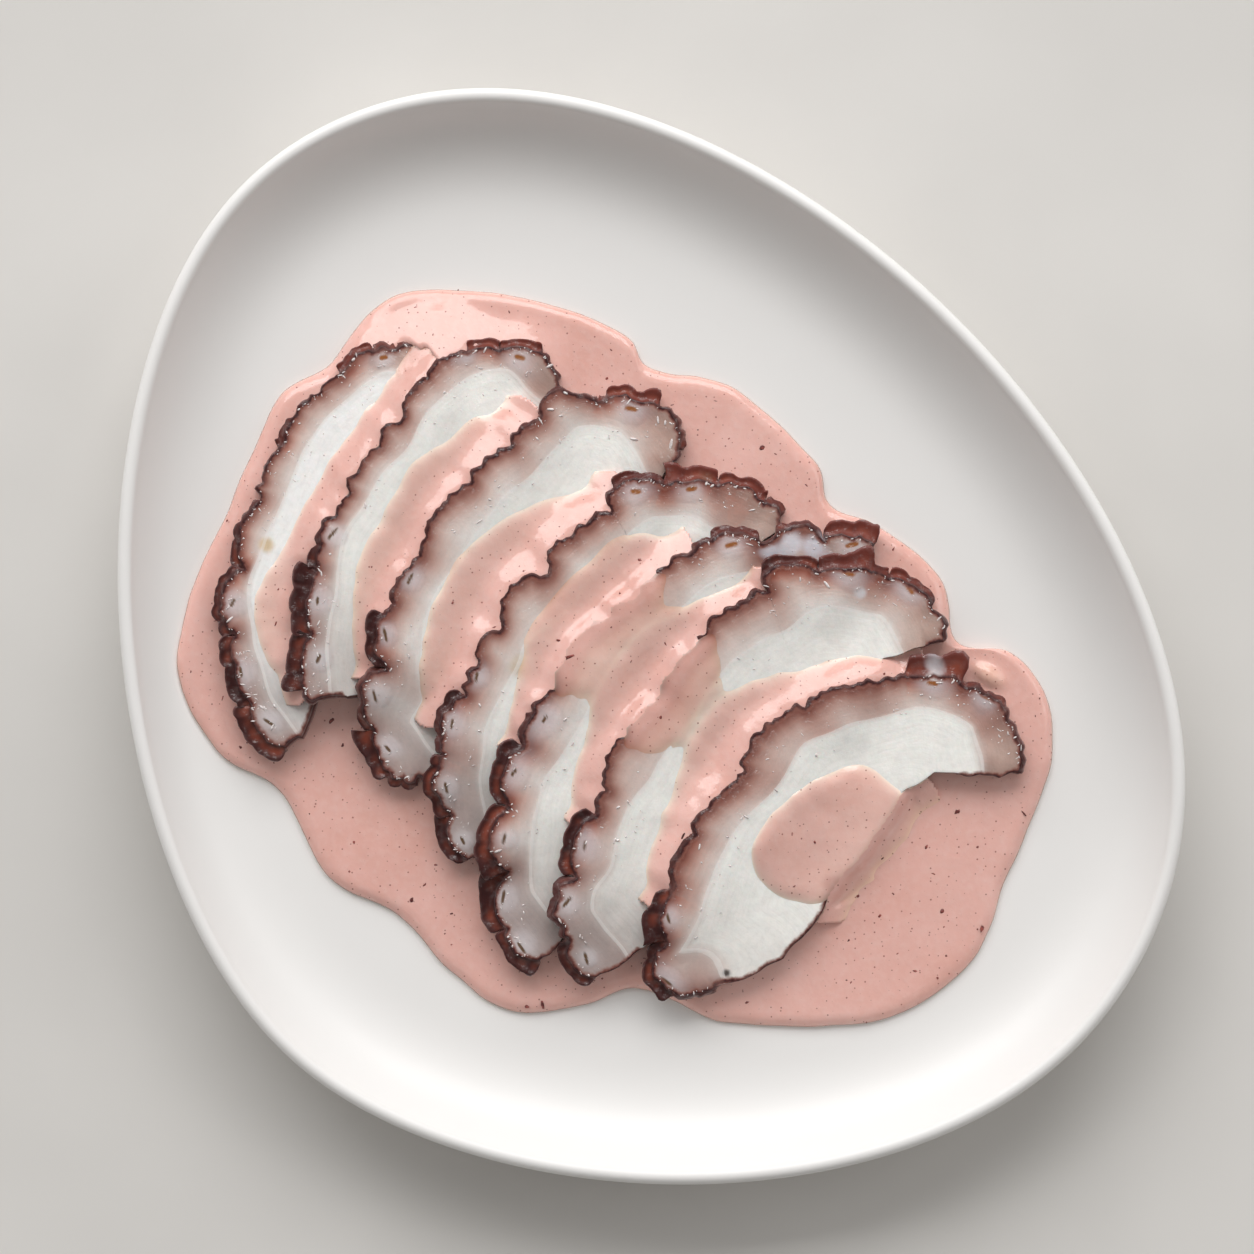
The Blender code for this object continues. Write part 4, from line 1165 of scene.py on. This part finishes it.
dotted = node(
    tree, "ShaderNodeMix", {0: spot, 6: body, 7: rgba("#8c4a44")}, data_type="RGBA"
).outputs[2]
tree.links.new(dotted, shader.inputs["Base Color"])
shader.inputs["Roughness"].default_value = 0.12
shader.inputs["IOR"].default_value = 1.5
shader.inputs["Subsurface Weight"].default_value = 0.15
shader.inputs["Subsurface Radius"].default_value = (1.0, 0.6, 0.45)
shader.inputs["Subsurface Scale"].default_value = 0.001
SKIM_MM = 3.2
skim = node(
    tree, "ShaderNodeTexNoise", {"Vector": place, "Scale": 1000 / SKIM_MM, "Detail": 4.0}
).outputs[0]
bump = node(tree, "ShaderNodeBump", {"Height": skim, "Distance": 0.0003, "Strength": 0.5})
tree.links.new(bump.outputs[0], shader.inputs["Normal"])
hidden = len(pool_points) - len(pool_layer)
make_piece(
    "sauce_pool_surface", pool_points, pool_faces, sauce, "sauce", ["sauce_pool"],
    layer=np.append(pool_layer, np.full(hidden, 2.0)),
    under=np.tile(linear("#f0d8cc"), (len(pool_points), 1)),
)  # fmt: skip

# %% [markdown]
# ## Sauce spooned over the slices
# Spooned sauce is a soft sheet: it smooths out the steps below it and pulls back from its edge.
# Its top is the blurred height of all that lies under it plus a thickness, and the thickness goes
# below nothing outside the bands, so the visible edge is where the sheet dives into the food.

# %% Bands of sauce
# Each band's outer edge on its slice, from the far end to the near end. Its other edge lies
# against the next slice's skin.
BANDS = {
    1: ((-47, 64), (-61, 51.5), (-68.5, 42), (-74.5, 33), (-78, 27), (-81.5, 20.5), (-86, 14.5),
        (-89, 8.5), (-89.5, 3), (-87.5, -3.5), (-84, -8.5), (-80, -12)),
    2: ((-30.5, 49.5), (-39, 48.5), (-45.5, 44), (-53.5, 39.5), (-58.5, 30), (-62.5, 23.5),
        (-66, 15.5), (-67, 5), (-67.5, -6.5)),
    3: ((-9.5, 32), (-17.5, 32), (-24.5, 30), (-32.5, 26.5), (-39, 22), (-44, 18), (-49.5, 4.5),
        (-51.5, -5.5), (-52, -10.5), (-49.5, -16.5)),
    4: ((3, 21.5), (-5.5, 23.5), (-10, 21.5), (-15, 16), (-19, 13), (-27, 3), (-29, -4.5),
        (-30.5, -13), (-31, -19.5), (-29.5, -22.5)),
    5: ((22.5, 11.5), (5.5, 6.5), (3.5, 8.5), (-12.5, -10), (-13.5, -19.5), (-16, -28),
        (-17.5, -34.5), (-15.5, -38)),
    6: ((50, -4.5), (38, -7), (23, -10), (15.5, -13.5), (12.5, -16), (7, -26.5), (5, -35),
        (1.5, -43.5), (-0.5, -52), (0.5, -56)),
}  # fmt: skip
LAST_BAND = (
    (23.5, -46.5), (28, -39.5), (33.5, -35), (40.5, -31), (47.5, -29), (51, -30), (52.5, -33),
    (60.5, -38.5), (52, -51.5), (44, -59), (36.5, -60), (29.5, -58.5), (25, -54), (23, -50),
)  # fmt: skip
# Where the sauce runs on over the next slice's skin.
FLOODS = (
    ((1, 12.5), (-6, 11), (-14, 5), (-21, -1), (-24.5, -8), (-20, -12), (-12, -12), (-4, -2), (4, 6)),
    ((11, 1.5), (15.5, -2), (16.5, -12), (11, -19), (4.5, -27), (-3, -26), (-6.5, -20), (-1, -11), (5, -4)),
)  # fmt: skip
SAUCE_BLUR = 2.6
SAUCE_THICK = 0.7
SAUCE_DIVE = 0.6
HEAP_SLOPE = 0.5
HEAP_DROP = 0.8
HEAP_REACH = 8.0
FLOODED_SLICES = (5, 6)
SKIN_COVER = 0.35
FILM_THICK = 0.38
FILM_DIVE = 0.4


def inside(outline):
    """1 in the cells inside an outline and 0 outside, by counting crossings of rays along x."""
    odd = np.zeros(GRID_X.shape, bool)
    for (x0, y0), (x1, y1) in zip(outline, np.roll(outline, -1, axis=0)):
        spans = (y0 > GRID_Y) != (y1 > GRID_Y)
        if y0 != y1:
            odd ^= spans & (GRID_X < x0 + (GRID_Y - y0) * (x1 - x0) / (y1 - y0))
    return odd.astype(float)


def band(number):
    """The outline of one band: its own outer edge, and back along the next slice's skin."""
    edge = smooth_curve(BANDS[number], 90, closed=False)
    plan, _, flare = PLANS[number + 1]
    beyond = (flare + 2.4) * smooth(flare, 0.9, 2.0) - 2.0
    skin_edge = plan[:, 0] + beyond[:, None] * outward(plan[:, 0], 6)
    _, (start, stop) = nearest(edge[[0, -1]], skin_edge)
    return np.vstack((edge, skin_edge[start : stop + 1][::-1]))


last = inside(smooth_curve(LAST_BAND, 120))
flooded = sum(inside(smooth_curve(flood, 80)) for flood in FLOODS)
coated = np.maximum(last, flooded)
bands = last
for number in BANDS:
    bands = np.maximum(bands, inside(band(number)))
coated, bands = blurred(np.maximum(coated, bands), 2.0), blurred(bands, 2.0)
flooded, last = blurred(flooded, 3.2), blurred(last, 3.0)
PILE = np.maximum(FACE_PILE, POOL_TOP)
ragged = bands + 0.13 * SMALL + 0.12 * MIDDLE
thickness = (SAUCE_THICK + SAUCE_DIVE) * smooth(ragged, 0.1, 1.0) - SAUCE_DIVE
thickness += smooth(bands, 0.6, 1.0) * (0.07 * MIDDLE + 0.16 * BROAD)
leaning = heaped(PILE, HEAP_SLOPE, HEAP_REACH)
bed = np.maximum(blurred(PILE, SAUCE_BLUR), leaning - HEAP_DROP)
bed = blurred(bed, 0.9)
bed += (blurred(spread(PILE, 1.0), 1.0) - bed) * smooth(last, 0.25, 0.5)
SAUCE_TOP = bed + thickness
# The film leans on the skins that it hides, and lies thin on the faces.
skins = np.zeros(GRID_X.shape)
for number in FLOODED_SLICES:
    skins[cells_of(*PLANS[number][0][:, 0].T)] = 1.0
beside_skin = smooth(blurred(skins, 2.5), 0.015, 0.05)
film = blurred(PILE, 0.7)
film += (blurred(leaning, 0.9) + SKIN_COVER - film) * beside_skin
patchy = flooded + 0.15 * SMALL + 0.2 * MIDDLE
film += (FILM_THICK + FILM_DIVE) * smooth(patchy, 0.15, 0.9) - FILM_DIVE
SAUCE_TOP = np.where(flooded > 0.02, np.maximum(SAUCE_TOP, film), SAUCE_TOP)
SAUCE_TOP += (blurred(SAUCE_TOP, 0.7) - SAUCE_TOP) * smooth(coated, 0.3, 0.6)
kept = spread(coated, 1.0) > 0.03
for _ in range(4):
    corner = kept[:-1, :-1] & kept[1:, 1:] & ~kept[1:, :-1] & ~kept[:-1, 1:]
    kept[1:, :-1] |= corner
    corner = kept[1:, :-1] & kept[:-1, 1:] & ~kept[:-1, :-1] & ~kept[1:, 1:]
    kept[:-1, :-1] |= corner


def sheet(cells, top, bottom):
    """A closed sheet over the cells that are set: its top, its underside and a wall between."""
    cells = np.pad(cells, 1)[1:, 1:]
    corners = np.zeros((len(cells) + 1, len(cells) + 1), bool)
    for rows in (slice(0, -1), slice(1, None)):
        for columns in (slice(0, -1), slice(1, None)):
            corners[rows, columns] |= cells
    number = np.cumsum(corners).reshape(corners.shape) - 1
    count = corners.sum()
    row, column = np.nonzero(corners)
    x, y = AXIS[0] + column * STEP, AXIS[0] + row * STEP
    points = np.vstack((np.column_stack((x, y, sample(top, x, y))), np.column_stack((x, y, sample(bottom, x, y)))))
    i, j = np.nonzero(cells)
    upper = np.stack((number[i, j], number[i, j + 1], number[i + 1, j + 1], number[i + 1, j]), axis=1)
    faces = [upper, upper[:, ::-1] + count]
    padded = np.pad(cells, 1)
    for side, (di, dj) in enumerate(((-1, 0), (0, 1), (1, 0), (0, -1))):
        open_side = ~padded[i + 1 + di, j + 1 + dj]
        first, last = upper[open_side, side], upper[open_side, (side + 1) % 4]
        faces.append(np.stack((last, first, first + count, last + count), axis=1))
    return points, np.vstack(faces).tolist()


sheet_points, sheet_faces = sheet(kept[:-1, :-1], SAUCE_TOP, np.minimum(PILE, SAUCE_TOP) - 0.8)
# Painted light: under sauce the meat's colour is painted 1.12 times paler than bare, to match the lift in shade
# that the slices get from their flatter shading normals.
brightened_under = [1.12 * sample(blurred(UNDER[..., i], 0.6), *sheet_points[:, :2].T) for i in range(3)]
make_piece(
    "spooned_sauce", sheet_points, sheet_faces, sauce, "sauce",
    layer=sample(SAUCE_TOP - PILE, *sheet_points[:, :2].T), under=np.minimum(np.stack(brightened_under, axis=1), 1.0),
)  # fmt: skip

# %% [markdown]
# ## Flecks of olive
# Chopped olive skin leaves flecks too large for a pattern in the shader: thin dark red flakes that
# lie half sunk in the sauce. Each one is the same small rounded flake, stretched, turned and laid
# at its own place, and all of them are joined into one mesh.

# %% Olive flecks
FLECKS = 130
FLECK_MEAN_MM = 0.2
FLAKE_SIDES, FLAKE_RINGS = 8, 3


def flake():
    """A unit flake: rings of a flat ellipsoid, and its faces."""
    turn = np.linspace(0, 2 * np.pi, FLAKE_SIDES, endpoint=False)
    rings = []
    for rise in np.linspace(np.pi / 2, -np.pi / 2, FLAKE_RINGS + 2)[1:-1]:
        height = np.full(FLAKE_SIDES, np.sin(rise))
        rings.append(np.column_stack((np.cos(rise) * np.cos(turn), np.cos(rise) * np.sin(turn), height)))
    return dish(rings, (0, 0, 1), (0, 0, -1))


def strewn(unit, faces, place, long, wide, high, turn):
    """Copies of a unit form, stretched to long, wide and high, turned, and laid at their places."""
    unit = np.broadcast_to(unit, (len(long), *np.shape(unit)[-2:]))
    along, beside = unit[..., 0] * long[:, None], unit[..., 1] * wide[:, None]
    cos, sin = np.cos(turn)[:, None], np.sin(turn)[:, None]
    points = np.stack((along * cos - beside * sin, along * sin + beside * cos, unit[..., 2] * high[:, None]), -1)
    points += np.stack(place, axis=-1)[:, None]
    size = unit.shape[1]
    joined = [tuple(i + k * size for i in face) for k in range(len(long)) for face in faces]
    return points.reshape(-1, 3), joined


def scattered_flakes():
    """Flakes on all sauce that shows, most of them small, a few long."""
    shown = np.maximum(np.where(COVERED < 0.5, inside(pool_edge), 0.0), coated > 0.9)
    row, column = np.nonzero(shown > 0.5)
    chosen = rng.choice(len(row), FLECKS, replace=False)
    x, y = AXIS[column[chosen]], AXIS[row[chosen]]
    z = np.where(sample(coated, x, y) > 0.5, sample(SAUCE_TOP, x, y), sample(POOL_TOP, x, y))
    unit, faces = flake()
    size = FLECK_MEAN_MM * rng.lognormal(0.0, 0.45, FLECKS)
    stretch = 1 + rng.gamma(1.2, 0.45, FLECKS)
    turn = rng.uniform(0, np.pi, FLECKS)
    wobble = 1 + 0.25 * rng.standard_normal((FLECKS, len(unit)))
    return strewn(
        unit[None] * np.stack((wobble, wobble, 1 + 0 * wobble), axis=-1), faces, (x, y, z),
        size * stretch, size / stretch**0.5, 0.16 * size, turn,
    )  # fmt: skip


olive, tree, shader = new_material("olive_skin")
place = node(tree, "ShaderNodeTexCoord").outputs["Object"]
patches = node(tree, "ShaderNodeTexNoise", {"Vector": place, "Scale": 900.0, "Detail": 2.0}).outputs[0]
tree.links.new(ramp(tree, patches, [(0.35, "#5e2a28"), (0.65, "#a0544c")]), shader.inputs["Base Color"])
shader.inputs["Roughness"].default_value = 0.3
make_piece("olive_flecks", *scattered_flakes(), olive, "sauce")

# %% [markdown]
# ## Beads of broth
# Cut octopus stays wet: the broth stands on it in tiny drops and threads, thickest along the skin, and each one
# catches the light as a pin-prick. Their near-white colour is painted highlight, which helps each drop read as a
# glint. They are the same rounded form, stretched.

# %% Beads of broth
BEADS_PER_SLICE = 230
BEAD_MM = 0.11


def beads():
    """Drops on the open parts of the cut faces, a quarter of them within a millimetre of the skin."""
    places = []
    for number, (face, _) in FACES.items():
        row = rng.integers(4, ROWS - 4, BEADS_PER_SLICE)
        column = np.where(
            rng.random(BEADS_PER_SLICE) < 0.25,
            rng.integers(0, 3, BEADS_PER_SLICE),
            (26 * rng.random(BEADS_PER_SLICE) ** 1.3).astype(int) + 2,
        )
        share = rng.random((BEADS_PER_SLICE, 1))
        point = face[row, column] * (1 - share) + face[row, column + 1] * share
        open_to_air = point[:, 2] > sample(PILE, *point[:, :2].T) - 0.5
        bare = sample(coated, *point[:, :2].T) < 0.15
        places.append(point[open_to_air & bare])
    x, y, z = np.vstack(places).T
    count = len(x)
    unit, faces = flake()
    size = BEAD_MM * rng.lognormal(0.0, 0.4, count)
    stretch = 1 + rng.gamma(2.0, 0.7, count)
    turn = rng.uniform(0, np.pi, count)
    return strewn(unit, faces, (x, y, z), size * stretch, size, 0.7 * size, turn)


broth, tree, shader = new_material("cloudy_broth_painted_glint")
place = node(tree, "ShaderNodeTexCoord").outputs["Object"]
# Painted highlight: the beads' near-white colour makes each one read as a glint, besides the real shine of its
# gloss.
milky_glint = node(tree, "ShaderNodeTexNoise", {"Vector": place, "Scale": 1500.0}).outputs[0]
tree.links.new(ramp(tree, milky_glint, [(0.3, "#cfc2c0"), (0.7, "#f2ecea")]), shader.inputs["Base Color"])
shader.inputs["Roughness"].default_value = 0.05
shader.inputs["IOR"].default_value = 1.4
make_piece("broth_beads", *beads(), broth, "octopus")

# %% [markdown]
# ## Floor, light and camera
# The dish is seen from straight above, under one big soft light beyond its far side, as from a
# window, with a pale room filling the shadows.

# %% Floor, light and camera
linen, tree, shader = new_material("matt_plaster")
place = node(tree, "ShaderNodeTexCoord").outputs["Object"]
cloudy = node(tree, "ShaderNodeTexNoise", {"Vector": place, "Scale": 9.0, "Detail": 3.0}).outputs[0]
tree.links.new(ramp(tree, cloudy, [(0.3, "#d9d6d2"), (0.7, "#e2dfdb")]), shader.inputs["Base Color"])
shader.inputs["Roughness"].default_value = 0.8
bpy.ops.mesh.primitive_plane_add(size=4.0)
floor = bpy.context.object
floor.name = "studio_floor"
floor.data.materials.append(linen)

world = bpy.data.worlds.new("pale_room")
bpy.context.scene.world = world
world.use_nodes = True
world.node_tree.nodes["Background"].inputs["Color"].default_value = rgba("#f4f2ef")
world.node_tree.nodes["Background"].inputs["Strength"].default_value = 0.33

DISH_MIDDLE = (CAD_BOX[0] + CAD_BOX[1]) / 2


def add_window(name, place, size, power):
    """A rectangular light aimed at the dish; place in metres from the dish's middle."""
    light = bpy.data.lights.new(name, "AREA")
    light.shape = "RECTANGLE"
    light.size, light.size_y = size
    light.energy = power
    obj = bpy.data.objects.new(name, light)
    obj.location = DISH_MIDDLE + type(DISH_MIDDLE)(place)
    obj.rotation_euler = (-type(DISH_MIDDLE)(place)).to_track_quat("-Z", "Y").to_euler()
    bpy.context.scene.collection.objects.link(obj)


add_window("window", (-0.2, 1.89, 1.36), (3.2, 1.35), 60.0)
add_window("left_reflector", (-1.9, 0.7, 1.3), (1.4, 1.0), 3.0)
add_window("right_reflector", (1.9, 0.7, 1.3), (1.4, 1.0), 7.0)

CAMERA_PLACE = (-0.00545, 0.00207, 1.02)
LENS_MM = 129.0
camera_data = bpy.data.cameras.new("above_the_table")
camera_data.lens = LENS_MM
camera = bpy.data.objects.new("above_the_table", camera_data)
camera.location = CAMERA_PLACE
bpy.context.scene.collection.objects.link(camera)
bpy.context.scene.camera = camera
bpy.context.scene.view_settings.view_transform = "Standard"
print("camera", CAMERA_PLACE, "lens", LENS_MM)
